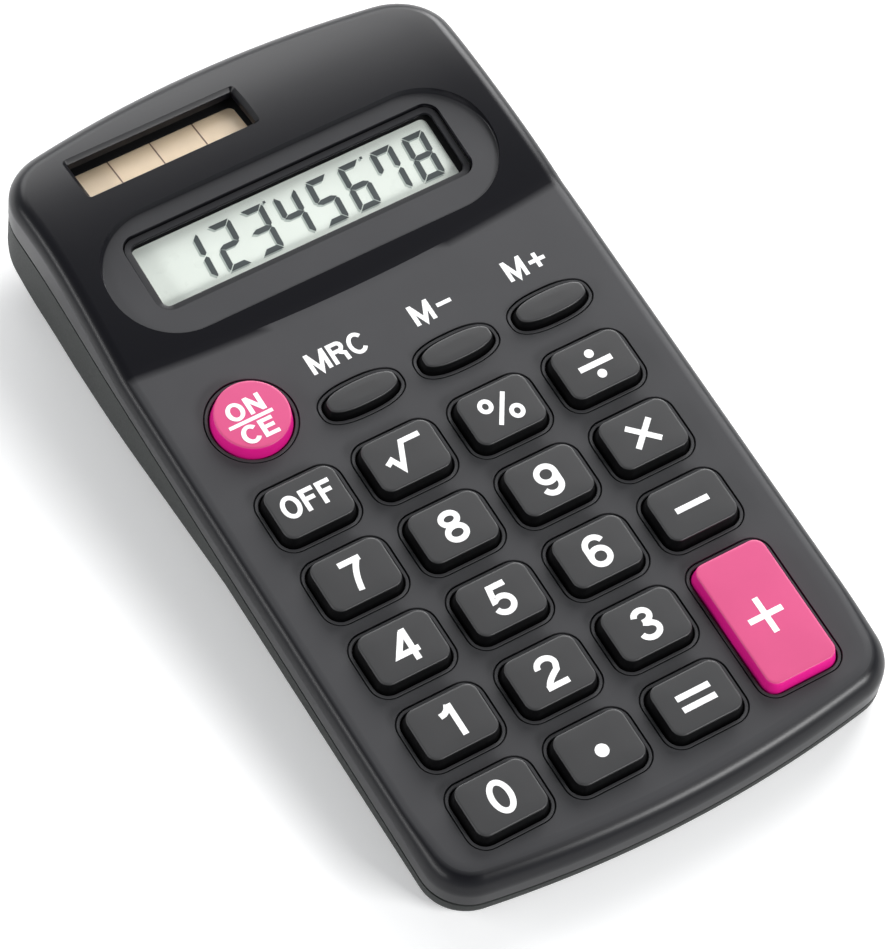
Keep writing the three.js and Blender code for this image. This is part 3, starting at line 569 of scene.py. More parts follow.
CASE = node_material(
    "case_plastic", lin(64, 64, 66), 0.5, polished=lin(19, 19, 23), polished_roughness=0.3,
    specular=0.25, grain=0.16, depth=5, strength=0.3, spread=0.03, mottle=9,
)
SHELL = node_material(
    "lower_shell_plastic", lin(44, 46, 45), 0.55, specular=0.2, grain=0.3, depth=22, strength=0.5,
)
KEY = node_material(
    "key_plastic", lin(56, 56, 57), 0.45, polished=lin(8, 8, 9), polished_roughness=0.3,
    grain=0.14, depth=3, strength=0.2, spread=0.03, mottle=7, specular=0.4,
)
PINK = node_material(
    "pink_key_plastic", lin(208, 79, 128), 0.45, polished=lin(232, 28, 142), polished_roughness=0.35,
    grain=0.14, depth=3, strength=0.15, spread=0.02, specular=0.4,
)
INK = node_material("legend_ink", lin(250, 250, 250), 0.45, grain=0.4, depth=4, spread=0.01)
LCD = node_material(
    "display_face", lin(232, 239, 231), 0.3, grain=2.5, depth=1, strength=0.04, spread=0.025, mottle=8,
)
SEGMENT = node_material("display_segment", lin(76, 82, 83), 0.35, grain=0.8, depth=2, spread=0.04)
# Pale grey of the painted shadow that the digits leave on the display.
SEGMENT_PAINTED_SHADOW = node_material(
    "display_segment_shade", lin(176, 186, 180), 0.4, grain=0.8, depth=2, spread=0.02,
)
SOLAR = node_material("solar_film", lin(238, 214, 182), 0.35, grain=0.6, depth=4, spread=0.03, mottle=2)
SOLAR_LINE = node_material("solar_divider", lin(120, 92, 78), 0.4, grain=0.4, depth=3)
CLEAR = node_material(
    "clear_window", lin(40, 42, 42), 0.06, alpha=0.03, grain=2, depth=1, strength=0.05, uneven=0.02,
)
FILM = node_material("reflector_film", lin(190, 194, 190), 0.35, metallic=0.9, grain=0.15, depth=6)
RUBBER = node_material("silicone_rubber", lin(150, 153, 156), 0.75, grain=0.25, depth=15)
BOARD = node_material("board_laminate", lin(38, 96, 52), 0.42, depth=12, spread=0.15, mottle=1.5)
RESIN = node_material("chip_resin", lin(14, 14, 14), 0.22, grain=1.5, depth=30)
SLEEVE = node_material("capacitor_sleeve", lin(24, 38, 78), 0.35, grain=0.8, depth=8)
LACQUER = node_material("resistor_lacquer", lin(204, 170, 112), 0.35, grain=0.5, depth=10)
CELL = node_material("cell_label", lin(50, 96, 168), 0.3, grain=0.9, depth=6, spread=0.04)
STEEL = node_material("spring_steel", lin(206, 206, 200), 0.25, metallic=1, grain=0.2, depth=5)
ZINC = node_material("screw_steel", lin(168, 168, 166), 0.35, metallic=1, grain=0.18, depth=8)
RED_WIRE = node_material("red_wire", lin(186, 36, 30), 0.45, grain=0.6, depth=8)
# Black of the window gaskets, which also serve as painted shade for the openings' walls.
GASKET_AND_SHADE = node_material("gasket_foam", lin(16, 16, 17), 0.8, specular=0.2, grain=0.25, depth=12)
BLACK_WIRE = node_material("black_wire", lin(24, 24, 24), 0.45, grain=0.6, depth=8)


# ---- upper case


def crease_bend(x, edge_x, y):
    """How far a row of the top's grid is pulled forward, so that one follows the crease."""
    near = smoothstep(1 - abs(y - CREASE_MIDDLE_Y - CREASE_SAG) / CREASE_SPREAD)
    return CREASE_SAG * (1 - (x / edge_x) ** 2) * near


def shell_inner_z(x, y):
    return top_z(x, y) - WALL


def upper_block():
    """The upper case as a shell: fillet, side, a rebate at the parting line, and inside."""
    build = Builder()
    steps = 9
    rings = []
    for i in range(steps + 1):
        a = math.pi / 2 * i / steps
        outline = inset_ring(CASE_RING, lambda y, a=a: top_fillet(y) * (1 - math.sin(a)))
        rings.append(build.ring(outline, lambda x, y, a=a: top_z(x, y) - top_fillet(y) * (1 - math.cos(a))))
    edge = PARTING_EDGE
    rebate = LIP_INSET - 0.1
    ledge = LIP_HEIGHT + 0.2
    for inset, rise in ((0, edge), (edge * 0.8, 0), (rebate, 0), (rebate, ledge), (WALL, ledge)):
        rings.append(build.ring(inset_ring(CASE_RING, inset), lambda x, y: parting_z(y) + rise))
    rings.append(build.ring(inset_ring(CASE_RING, WALL), lambda x, y: top_z(x, y) - 1.2 * TOP_FILLET))
    rings.append(build.ring(inset_ring(CASE_RING, TOP_FILLET + 0.6), shell_inner_z))
    for a, b in zip(rings, rings[1:]):
        build.join(a, b)
    build.grid(rings[0], top_z, 26, True, crease_bend)
    build.grid(rings[-1], shell_inner_z, 8, False)
    return new_object("upper_shell", build.mesh("upper_shell"))


def lofted(name, levels, plane=None):
    """A closed solid through (outline, z) levels, from the top down."""
    build = Builder()
    rings = [build.ring(outline, z) for outline, z in levels]
    for a, b in zip(rings, rings[1:]):
        build.join(a, b)
    build.fill(rings[0], True)
    build.fill(rings[-1], False)
    mesh = build.mesh(name)
    if plane is not None:
        mesh.transform(plane)
    return mesh


ROUND_KEYS = ("key_on_ce",)
MEMORY_KEYS = ("key_mrc", "key_m_minus", "key_m_plus")
TALL_KEYS = ("key_plus",)
KEY_NODES = [name for name in frame["nodes"] if name.startswith("key_") and name != "key_mat"]


def key_ring(node):
    """The outline of a key's hole."""
    if node in ROUND_KEYS:
        return superellipse(ROUND_HOLE, ROUND_HOLE, 2, ROUND_POINTS)
    if node in MEMORY_KEYS:
        return superellipse(*MEMORY_HOLE, MEMORY_EXPONENT, ROUND_POINTS)
    if node in TALL_KEYS:
        return rounded_rectangle(*TALL_HOLE)
    return rounded_rectangle(*SQUARE_HOLE)


def sunk(ring, section):
    """The levels of a loft whose outline is inset as a section says."""
    return [(inset_ring(ring, inset), z) for inset, z in section]


def hole_cutter(node):
    x, y = key_centre(node)
    return lofted("cutter", sunk(key_ring(node), KEY_HOLE_SECTION), Matrix.Translation((x, y, 0)))


DISPLAY_PLANE = (
    Matrix.Translation((0, DISPLAY_Y, top_z(0, DISPLAY_Y))) @ Matrix.Rotation(DISPLAY_LEAN, 4, "X")
)
SURROUND_PLANE = (
    Matrix.Translation((0, DISPLAY_Y, top_z(0, DISPLAY_Y))) @ Matrix.Rotation(SURROUND_LEAN, 4, "X")
)
SOLAR_LEAN = -math.asin((SOLAR_Y - CREST_Y) / BACK_ROLL)
SOLAR_PLANE = (
    Matrix.Translation((SOLAR_X, SOLAR_Y, top_z(SOLAR_X, SOLAR_Y)))
    @ Matrix.Rotation(SOLAR_LEAN, 4, "X")
)


def shifted(ring, dx, dy):
    return [(x + dx, y + dy, nx, ny) for x, y, nx, ny in ring]


def surround_cutter():
    """The shallow oval round the display. Its floor leans less than the display does."""
    half = SURROUND[0] / 2
    ring = []
    for x, y, nx, ny in shifted(rounded_rectangle(*SURROUND, 16), 0, -SURROUND_BOW):
        bow = SURROUND_BOW * (1 - (x / half) ** 2) if y > 0 else 0
        ring.append((x, y + bow, nx, ny))
    levels = []
    for steep, soft, z in SURROUND_SECTION:
        inset = lambda y, a=steep, b=soft: a + (b - a) * smoothstep((y + 1) / 6)
        levels.append((inset_ring(ring, inset), z))
    return lofted("cutter", levels, SURROUND_PLANE)


def display_cutter():
    """The stepped frame of the display and its opening."""
    ring = shifted(rounded_rectangle(*DISPLAY_OPENING), *DISPLAY_SHIFT)
    return lofted("cutter", sunk(ring, DISPLAY_SECTION), DISPLAY_PLANE)


def solar_cutter():
    return lofted("cutter", sunk(rounded_rectangle(*SOLAR_OPENING), SOLAR_SECTION), SOLAR_PLANE)


def in_surround(x, y):
    """Whether a point of the surround's plane is inside its outline."""
    width, _, radius = SURROUND
    reach = math.hypot(max(abs(x) - width / 2 + radius, 0), y + SURROUND_BOW)
    return reach < (radius if y < 0 else radius + SURROUND_BOW)


def case_texture_and_shade(x, y, z):
    """How textured the case is: the keypad, the display's surround and its shelf, fading to polished. On
    the surround the amount falls towards the back, which darkens it there as painted shade.
    """
    if y < crease_y(x) + 0.01:
        return 1 - smoothstep((-z - 0.12) / 0.22)
    local = SURROUND_PLANE.inverted() @ Vector((x, y, z))
    if abs(local.z + SURROUND_DEPTH) < 0.02 and in_surround(local.x, local.y):
        # Less textured, and so darker, towards the back of the surround: painted shade.
        return 0.98 - 0.3 * smoothstep((local.y + 2) / 9)
    shelf_top, shelf_bottom = DISPLAY_SHELF
    width, height, _ = DISPLAY_OPENING
    on_shelf = shelf_bottom < (DISPLAY_PLANE.inverted() @ Vector((x, y, z))).z < shelf_top
    inside = abs(local.x) < width / 2 - 0.1 and abs(local.y) < height / 2
    return 0.6 if on_shelf and inside else 0


def upper_case():
    shell = upper_block()
    cutters = [hole_cutter(node) for node in KEY_NODES]
    cutters += [surround_cutter(), solar_cutter()]
    boolean(shell, new_object("cutters", join_meshes("cutters", cutters)), "DIFFERENCE")
    boolean(shell, new_object("cutter", display_cutter()), "DIFFERENCE")
    paint(shell, case_texture_and_shade)
    finish_piece(shell, "case", CASE, ["upper_case"], 30)


# ---- lower case

COVER_WIDTH = 50
COVER_FRONT_Y = 36
COVER_TOP_Z = -6.4
COVER_GAP = 0.3
COVER_SKIN = 1.4
CASE_SCREW_X = 29.7
CASE_SCREW_YS = (-31.6, 20)
SCREW_WELL = 2.0
WELL_TOP = 2.3
WELL_FLARE = 0.3
GRIP_GROOVES = 5
GRIP_PITCH = 1.6
GRIP_GROOVE = (14, 0.8, 0.39)
TONGUE = (8, 4, 1)
TONGUE_X = 14
TONGUE_REACH = 2.5
BAY_RIB = 1.6
BAY_RIB_TOP = -4.3
BAY_ENDS = (-26.25, 26.25)
BAY_FRONT_Y = 39.55
BAY_LENGTH = 11.1


def lower_z(inset_share, floor, fillet):
    """Height of the bottom fillet, as a function of x and y, at a share of its full rise."""
    def height(x, y):
        depth = parting_z(y) - under_z(y)
        return under_z(y) + floor + min(fillet, depth * FILLET_SHARE) * inset_share
    return height


def lower_rings(build, wall, floor, steps):
    """Rings down the side of the lower case and round its bottom fillet."""
    fillet = BOTTOM_FILLET - wall / 2
    rings = []
    for i in range(steps + 1):
        a = math.pi / 2 * i / steps
        inset = wall + fillet * (1 - math.cos(a))
        rings.append(build.ring(inset_ring(CASE_RING, inset), lower_z(1 - math.sin(a), floor, fillet)))
    return rings


def lower_solid(name, wall, floor, top):
    """The lower case as a full block, moved in all round."""
    build = Builder()
    rings = [build.ring(inset_ring(CASE_RING, wall), lambda x, y: parting_z(y) + top)]
    rings += lower_rings(build, wall, floor, 6)
    for a, b in zip(rings, rings[1:]):
        build.join(a, b)
    build.grid(rings[0], lambda x, y: parting_z(y) + top, 6, True)
    build.grid(rings[-1], lambda x, y: under_z(y) + floor, 6, False)
    return build.mesh(name)


def lower_shell_mesh():
    """The lower case as a shell, with a lip that fits inside the upper case's edge."""
    build = Builder()
    gap = PARTING_GAP
    rings = [build.ring(inset_ring(CASE_RING, WALL), lower_z(0.4, WALL + 0.6, BOTTOM_FILLET))]
    lip = ((WALL, LIP_HEIGHT), (LIP_INSET, LIP_HEIGHT), (LIP_INSET, -gap), (0.2, -gap), (0.05, -gap - 0.08))
    for inset, rise in lip:
        rings.append(build.ring(inset_ring(CASE_RING, inset), lambda x, y: parting_z(y) + rise))
    lower = lower_rings(build, 0, 0, 9)
    rings += lower
    for a, b in zip(rings, rings[1:]):
        build.join(b, a)
    floor = rings[0]
    build.grid(floor, lambda x, y: under_z(y) + WALL, 6, True)
    build.grid(lower[-1], lambda x, y: under_z(y), 6, False)
    return build.mesh("lower_shell")


def cover_box(clearance):
    """The part of the belly that the battery cover takes up."""
    width = COVER_WIDTH + 2 * clearance
    front, back = COVER_FRONT_Y - clearance, BACK_Y + 1
    top = COVER_TOP_Z + clearance
    centre_y = (front + back) / 2
    ring = rounded_rectangle(width, back - front, 1.5, 6)
    levels = [(inset_ring(ring, 0), top), (inset_ring(ring, 0), -BELLY_DEPTH - 3)]
    return lofted("cover_box", levels, Matrix.Translation((0, centre_y, 0)))


def block(size, centre, lean=0):
    """A plain box, leaning about its own middle."""
    width, length, height = size
    ring = [(x * width / 2, y * length / 2, 0, 0) for x, y in ((1, 1), (1, -1), (-1, -1), (-1, 1))]
    levels = [(inset_ring(ring, 0), height / 2), (inset_ring(ring, 0), -height / 2)]
    return lofted("block", levels, Matrix.Translation(centre) @ Matrix.Rotation(lean, 4, "X"))


def tongue_top():
    return table_z(COVER_FRONT_Y) + WALL + COVER_GAP + TONGUE[2]


def bay_ribs():
    """The ribs round the battery, with a notch for each of the cover's tongues."""
    left, right = BAY_ENDS
    low = -BELLY_DEPTH - 1
    height = BAY_RIB_TOP - low
    middle = (BAY_RIB_TOP + low) / 2
    centre = ((left + right) / 2, BAY_FRONT_Y, middle)
    front = new_object("bay_ribs", block((right - left, BAY_RIB, height), centre))
    notch_height = tongue_top() + COVER_GAP - low
    size = (TONGUE[0] + 2 * COVER_GAP, BAY_RIB + 1, notch_height)
    notches = [block(size, (x, BAY_FRONT_Y, low + notch_height / 2)) for x in (-TONGUE_X, TONGUE_X)]
    boolean(front, new_object("notches", join_meshes("notches", notches)), "DIFFERENCE")
    size = (BAY_RIB, BAY_LENGTH, height)
    middle_y = BAY_FRONT_Y + BAY_LENGTH / 2
    ends = [block(size, (x, middle_y, middle)) for x in (left + BAY_RIB / 2, right - BAY_RIB / 2)]
    boolean(front, new_object("ends", join_meshes("ends", ends)), "UNION")
    boolean(front, new_object("outer", lower_solid("outer", WALL / 2, WALL / 2, 0)), "INTERSECT")
    return front


def cover_opening():
    """What the cover leaves open: only the skin, so that the ribs above it stay."""
    opening = new_object("cutter", cover_box(COVER_GAP))
    skin = COVER_SKIN + 2 * COVER_GAP
    boolean(opening, new_object("inside", lower_solid("inside", skin, skin, 1)), "DIFFERENCE")
    return opening


def screw_wells():
    wells = []
    for y in CASE_SCREW_YS:
        for x in (-CASE_SCREW_X, CASE_SCREW_X):
            ring = superellipse(2 * SCREW_WELL, 2 * SCREW_WELL, 2, 24)
            floor = under_z(y)
            section = (
                (0, parting_z(y) - WELL_TOP),
                (0, floor + WELL_FLARE),
                (-WELL_FLARE, floor),
                (-WELL_FLARE, floor - 2),
            )
            wells.append(lofted("well", sunk(ring, section), Matrix.Translation((x, y, 0))))
    return new_object("wells", join_meshes("wells", wells))


def lower_case():
    shell = new_object("lower_shell", lower_shell_mesh())
    boolean(shell, bay_ribs(), "UNION")
    boolean(shell, cover_opening(), "DIFFERENCE")
    boolean(shell, screw_wells(), "DIFFERENCE")
    finish_piece(shell, "case", SHELL, ["lower_case"], 30)


def cover_tongues():
    """Two flat tongues that hold the cover's front edge, each on a foot."""
    width, length, thickness = TONGUE
    lean = -math.atan(SLOPE)
    foot = length - TONGUE_REACH
    middle_y = COVER_FRONT_Y - TONGUE_REACH + length / 2
    middle_z = tongue_top() - thickness / 2
    foot_y = middle_y + (length - foot) / 2
    blocks = []
    for x in (-TONGUE_X, TONGUE_X):
        blocks.append(block(TONGUE, (x, middle_y, middle_z), lean))
        blocks.append(block((width, foot - 0.02, 2 * thickness), (x, foot_y, middle_z - thickness), lean))
    return blocks


def battery_cover():
    """The cover: the belly's own skin, with two tongues, and grooves for the thumb."""
    skin = new_object("battery_door", lower_solid("door", 0.12, 0.12, 0))
    inside = new_object("inside", lower_solid("inside", COVER_SKIN, COVER_SKIN, 1))
    boolean(skin, inside, "DIFFERENCE")
    boolean(skin, new_object("region", cover_box(0)), "INTERSECT")
    for tongue in cover_tongues():
        boolean(skin, new_object("tongue", tongue), "UNION")
    cuts = []
    for i in range(GRIP_GROOVES):
        y = COVER_FRONT_Y + (i + 1.5) * GRIP_PITCH
        floor = table_z(y)
        section = ((0.2, floor + 0.5), (-0.2, floor - 1))
        levels = sunk(rounded_rectangle(*GRIP_GROOVE, 6), section)
        cuts.append(lofted("groove", levels, Matrix.Translation((0, y, 0))))
    boolean(skin, new_object("grooves", join_meshes("grooves", cuts)), "DIFFERENCE")
    finish_piece(skin, "battery_cover", SHELL, ["battery_cover"], 30)


# ---- keys


def key_top(node):
    """Height of the key's top above the keypad."""
    return MEMORY_KEY_HEIGHT if node in MEMORY_KEYS else KEY_HEIGHT


def crown(node, x, y):
    """Height of the faintly crowned top of a key at a point from its middle."""
    width, height = key_ring_size(node)
    reach = max(abs(2 * x / width), abs(2 * y / height))
    return key_top(node) + KEY_CROWN * (1 - min(1, reach) ** 2)


def key_ring_size(node):
    if node in ROUND_KEYS:
        return ROUND_HOLE, ROUND_HOLE
    if node in MEMORY_KEYS:
        return MEMORY_HOLE
    return (TALL_HOLE if node in TALL_KEYS else SQUARE_HOLE)[:2]


def key_cap(node):
    """A key: a textured top with a rounded edge, polished sides and a flange."""
    ring = key_ring(node)
    top = key_top(node)
    side = KEY_SIDE_INSET
    edge = side + KEY_DRAFT
    inner = edge + KEY_EDGE
    build = Builder()
    levels = []
    for share in CROWN_SHARES:
        outline = [(x * share, y * share) for x, y in inset_ring(ring, inner)]
        levels.append(build.ring(outline, top + KEY_CROWN * (1 - share * share)))
    for i in range(5):
        a = math.pi / 2 * i / 4
        outline = inset_ring(ring, edge + KEY_EDGE * (1 - math.sin(a)))
        levels.append(build.ring(outline, top - KEY_EDGE * (1 - math.cos(a))))
    for inset, z in ((side, -0.4), (side, FLANGE_TOP), (-0.2, FLANGE_TOP), (-0.2, FLANGE_BOTTOM)):
        levels.append(build.ring(inset_ring(ring, inset), z))
    for a, b in zip(levels, levels[1:]):
        build.join(a, b)
    build.fill(levels[0], True)
    build.fill(levels[-1], False)
    name = node.replace("key_", "cap_", 1)
    mesh = build.mesh(name)
    x, y = key_centre(node)
    mesh.transform(Matrix.Translation((x, y, 0)))
    cap = new_object(name, mesh)
    paint(cap, lambda x, y, z: smoothstep((z - top + 0.2) / 0.16))
    pink = node in ROUND_KEYS or node in TALL_KEYS
    finish_piece(cap, node, PINK if pink else KEY, [node], 40)


# ---- legends


def curve_points(cx, cy, rx, ry, start, end, steps=18):
    """Points on an ellipse's arc, in degrees anticlockwise from +x."""
    found = []
    for i in range(steps + 1):
        a = math.radians(start + (end - start) * i / steps)
        found.append((cx + rx * math.cos(a), cy + ry * math.sin(a)))
    return found


def bezier(a, b, c, steps=10):
    found = []
    for i in range(steps + 1):
        t = i / steps
        found.append(tuple((1 - t) ** 2 * p + 2 * t * (1 - t) * q + t * t * r for p, q, r in zip(a, b, c)))
    return found


def bar(x0, y0, x1, y1):
    """A straight stroke."""
    return "line", [(x0, y0), (x1, y1)]


def bars(*ends):
    return [bar(*places) for places in ends]


# Digits on a box one unit high. A stroke's middle runs half its width inside the box.
STROKE = 0.172
HALF = STROKE / 2
TOP = 1 - HALF
GLYPHS = {
    "0": [("ring", 0.35, 0.5, 0.35 - HALF, 0.52 - HALF)],
    "1": [
        bar(0.45 - HALF, 0, 0.45 - HALF, 1),
        ("line", [(0, 0.75), (0.14, 0.77), (0.26, 0.85), (0.34, 0.99)]),
    ],
    "2": [
        ("line", curve_points(0.35, 0.7, 0.35 - HALF, 0.31 - HALF, 185, -25)
         + bezier((0.55, 0.5), (0.16, 0.28), (0.11, HALF))),
        bar(0.03, HALF, 0.7, HALF),
    ],
    "3": [
        ("line", curve_points(0.34, 0.745, 0.31 - HALF, 0.27 - HALF, 172, -85) + [(0.27, 0.56)]),
        ("line", [(0.27, 0.56)] + curve_points(0.345, 0.285, 0.355 - HALF, 0.3 - HALF, 80, -172)),
    ],
    "4": [bar(0.54, 0, 0.54, 1), ("line", [(0.5, 0.93), (0.09, 0.31), (0.72, 0.31)])],
    "5": [
        ("line", [(0.66, TOP), (0.19, TOP), (0.13, 0.5)]
         + curve_points(0.34, 0.325, 0.355 - HALF, 0.335 - HALF, 135, -165, 24)),
    ],
    "6": [
        ("ring", 0.35, 0.325, 0.35 - HALF, 0.335 - HALF),
        ("line", curve_points(0.36, 0.66, 0.36 - HALF, 0.355 - HALF, 20, 180) + [(HALF, 0.34)]),
    ],
    "7": [bar(0.02, TOP, 0.68, TOP), ("line", bezier((0.61, 0.93), (0.32, 0.6), (0.25, 0)))],
    "8": [
        ("ring", 0.35, 0.745, 0.32 - HALF, 0.27 - HALF),
        ("ring", 0.35, 0.285, 0.35 - HALF, 0.3 - HALF),
    ],
}


def letter_glyphs(stroke):
    """Capital letters and signs, each its width and its strokes, on a box one unit high."""
    h = stroke / 2
    bowl = curve_points(0.42, 0.73, 0.27 - h, 0.27 - h, 90, -90, 14)[1:]
    return {
        "O": (0.8, [("ring", 0.4, 0.5, 0.4 - h, 0.52 - h)]),
        "F": (0.62, bars((h, 0, h, 1), (h, 1 - h, 0.6, 1 - h), (h, 0.53, 0.53, 0.53))),
        "E": (0.66, bars((h, 0, h, 1), (h, 1 - h, 0.64, 1 - h), (h, 0.53, 0.6, 0.53), (h, h, 0.66, h))),
        "N": (0.74, bars((h, 0, h, 1), (0.74 - h, 0, 0.74 - h, 1), (h, 0.95, 0.74 - h, 0.05))),
        "C": (0.74, [("line", curve_points(0.4, 0.5, 0.4 - h, 0.52 - h, 38, 322, 30))]),
        "M": (0.88, [
            bar(h, 0, h, 1),
            bar(0.88 - h, 0, 0.88 - h, 1),
            ("line", [(h, 0.96), (0.44, 0.1), (0.88 - h, 0.96)]),
        ]),
        "R": (0.72, [
            bar(h, 0, h, 1),
            ("line", [(h, 1 - h), (0.42, 1 - h)] + bowl + [(h, 0.46 + h)]),
            ("line", [(0.4, 0.5), (0.62, 0.36), (0.64, 0)]),
        ]),
        "+": (0.8, bars((0.08, 0.45, 0.8, 0.45), (0.44, 0.09, 0.44, 0.81))),
        "-": (0.72, bars((0.1, 0.5, 0.72, 0.5))),
    }


LEGEND_SINK = 0.15
LEGEND_LIFT = 0.02


def ribbon(points, width):
    """The outline of a stroke of constant width, with mitred corners and square ends."""
    path = [Vector(points[0])]
    for point in points[1:]:
        if (Vector(point) - path[-1]).length > 1e-4:
            path.append(Vector(point))
    left, right = [], []
    for i, point in enumerate(path):
        before = (point - path[i - 1]).normalized() if i else None
        after = (path[i + 1] - point).normalized() if i < len(path) - 1 else None
        first, second = before or after, after or before
        middle = (first + second).normalized()
        side = Vector((-middle.y, middle.x)) * (width / 2 / max(0.35, middle.dot(first)))
        left.append(point + side)
        right.append(point - side)
    return left, right


def stroke_mesh(stroke, width, place, height):
    """One stroke as a thin solid that stands on a surface. height gives its z at x, y."""
    build = Builder()
    kind, *values = stroke
    sink, lift = LEGEND_SINK, LEGEND_LIFT

    def ring(outline, offset):
        return build.ring([place(p) for p in outline], lambda x, y: height(x, y) + offset)

    if kind == "line":
        left, right = ribbon(values[0], width)
        count = len(left)
        top = ring([*left, *right], lift)
        bottom = ring([*left, *right], -sink)
        for i in range(count - 1):
            a, b, c, d = i, i + 1, count + i + 1, count + i
            build.faces.append((top[a], top[b], top[c], top[d]))
            build.faces.append((bottom[a], bottom[b], bottom[c], bottom[d]))
        loop = list(range(count)) + list(range(2 * count - 1, count - 1, -1))
        for a, b in zip(loop, loop[1:] + loop[:1]):
            build.faces.append((top[a], top[b], bottom[b], bottom[a]))
    else:
        cx, cy, rx, ry = values
        outer = curve_points(cx, cy, rx + width / 2, ry + width / 2, 0, 360, 40)[:-1]
        inner = curve_points(cx, cy, max(0, rx - width / 2), max(0, ry - width / 2), 0, 360, 40)[:-1]
        if kind == "dot":
            top, bottom = ring(outer, lift), ring(outer, -sink)
            build.join(top, bottom)
            build.fill(top, True)
            build.fill(bottom, False)
        else:
            rings = [ring(outer, lift), ring(inner, lift), ring(inner, -sink), ring(outer, -sink)]
            for a, b in zip(rings, rings[1:] + rings[:1]):
                build.join(a, b)
    return build.mesh("stroke")


def legend(name, body, strokes, height):
    """Joins strokes, each (stroke, width, place), into one clean piece."""
    meshes = [stroke_mesh(stroke, width, place, height) for stroke, width, place in strokes]
    made = new_object(name, meshes[0])
    for mesh in meshes[1:]:
        boolean(made, new_object("stroke", mesh), "UNION")
    finish_piece(made, body, INK, degrees=35)


def word(text, x, y, height, width, spacing, weight):
    """The strokes of a word whose middle is at x, y."""
    glyphs = letter_glyphs(weight)
    total = sum(glyphs[c][0] for c in text) + spacing * (len(text) - 1)
    scale = width / total
    left = x - width / 2
    strokes = []
    for letter in text:
        span, parts = glyphs[letter]
        base = y - height / 2
        for part in parts:
            place = lambda p, a=left, b=base: (a + scale * p[0], b + height * p[1])
            strokes.append((part, weight, place))
        left += scale * (span + spacing)
    return strokes


DIGIT_HEIGHT = 4.6
DIGIT_WIDTH = 0.7
ONE_WIDTH = 0.45
LEGEND_STROKE = 0.82


def digit_strokes(digit, x, y):
    """A digit's strokes. A nine is a six turned round."""
    turned = digit == "9"
    scale = -DIGIT_HEIGHT if turned else DIGIT_HEIGHT
    width = ONE_WIDTH if digit == "1" else DIGIT_WIDTH
    place = lambda p: (x + scale * (p[0] - width / 2), y + scale * (p[1] - 0.5))
    return [(part, STROKE, place) for part in GLYPHS["6" if turned else digit]]


def symbol_strokes(parts, x, y, width):
    """Strokes given in millimetres from the middle of the key."""
    return [(part, width, lambda p: (x + p[0], y + p[1])) for part in parts]


SYMBOLS = {
    "key_root": ([("line", [(-2.85, -0.35), (-2.0, 0.15), (-1.15, -1.5), (0.35, 2.0), (3.0, 2.0)])], 0.72),
    "key_percent": (
        [("ring", -1.65, 1.2, 0.72, 0.78), ("ring", 1.65, -1.15, 0.72, 0.78), bar(-1.2, -2.0, 1.4, 2.1)],
        0.6,
    ),
    "key_divide": (
        [bar(-2.4, 0, 2.4, 0), ("dot", 0, 1.62, 0.22, 0.22), ("dot", 0, -1.62, 0.22, 0.22)],
        LEGEND_STROKE,
    ),
    "key_multiply": (bars((-1.75, -1.65, 1.75, 1.65), (-1.75, 1.65, 1.75, -1.65)), 0.78),
    "key_minus": (bars((-2.4, 0, 2.4, 0)), LEGEND_STROKE),
    "key_equals": (bars((-2.4, 0.84, 2.4, 0.84), (-2.4, -0.84, 2.4, -0.84)), LEGEND_STROKE),
    "key_point": ([("dot", 0, -0.6, 0.5, 0.5)], LEGEND_STROKE),
    "key_plus": (bars((-2.75, -0.5, 2.15, -0.5), (-0.3, -3.15, -0.3, 2.15)), LEGEND_STROKE),
}


def key_legends():
    for node in KEY_NODES:
        x, y = key_centre(node)
        height = lambda px, py, n=node, cx=x, cy=y: crown(n, px - cx, py - cy)
        label = node.replace("key_", "")
        if label.isdigit():
            strokes = digit_strokes(label, x, y)
        elif node in SYMBOLS:
            parts, width = SYMBOLS[node]
            strokes = symbol_strokes(parts, x, y, width)
        elif node == "key_off":
            strokes = word("OFF", x, y + 0.35, 3.2, 7.4, 0.1, 0.19)
        elif node == "key_on_ce":
            strokes = word("ON", x - 0.45, y + 1.2, 2.55, 5.1, 0.12, 0.2)
            strokes += word("CE", x - 0.4, y - 2.45, 2.6, 4.8, 0.12, 0.2)
            strokes.append((bar(x - 3.65, y - 0.6, x + 2.6, y - 0.6), 0.5, lambda p: p))
        else:
            continue
        legend("legend_" + label, node, strokes, height)


def case_labels():
    for node, text in (("key_mrc", "MRC"), ("key_m_minus", "M-"), ("key_m_plus", "M+")):
        x, y = key_centre(node)
        width = 8.2 if text == "MRC" else 5.8
        strokes = word(text, x + 0.4, y + 6.9, 3.1, width, 0.12, 0.18)
        legend("label_" + node[4:], "case", strokes, top_z)


# ---- display and sun

LCD_TOP = -2.7
MASK_TOP = -2.46
MASK_BOTTOM = -2.6
DIGIT_CELL = 4.83
LCD_FIRST_X = -16.75
LCD_DIGIT = (3.25, 7.0)
LCD_BASE_Y = -3.5
LCD_SLANT = 0.06
SEGMENT_WIDTH = 0.78
SEGMENT_GAP = 0.09
BAR_SINK = 0.05
SOLAR_LINE_XS = (-6.72, -0.47, 5.83)
SEGMENTS = {
    "1": "bc", "2": "abged", "3": "abgcd", "4": "fgbc",
    "5": "afgcd", "6": "afgedc", "7": "fabc", "8": "abcdefg",
}


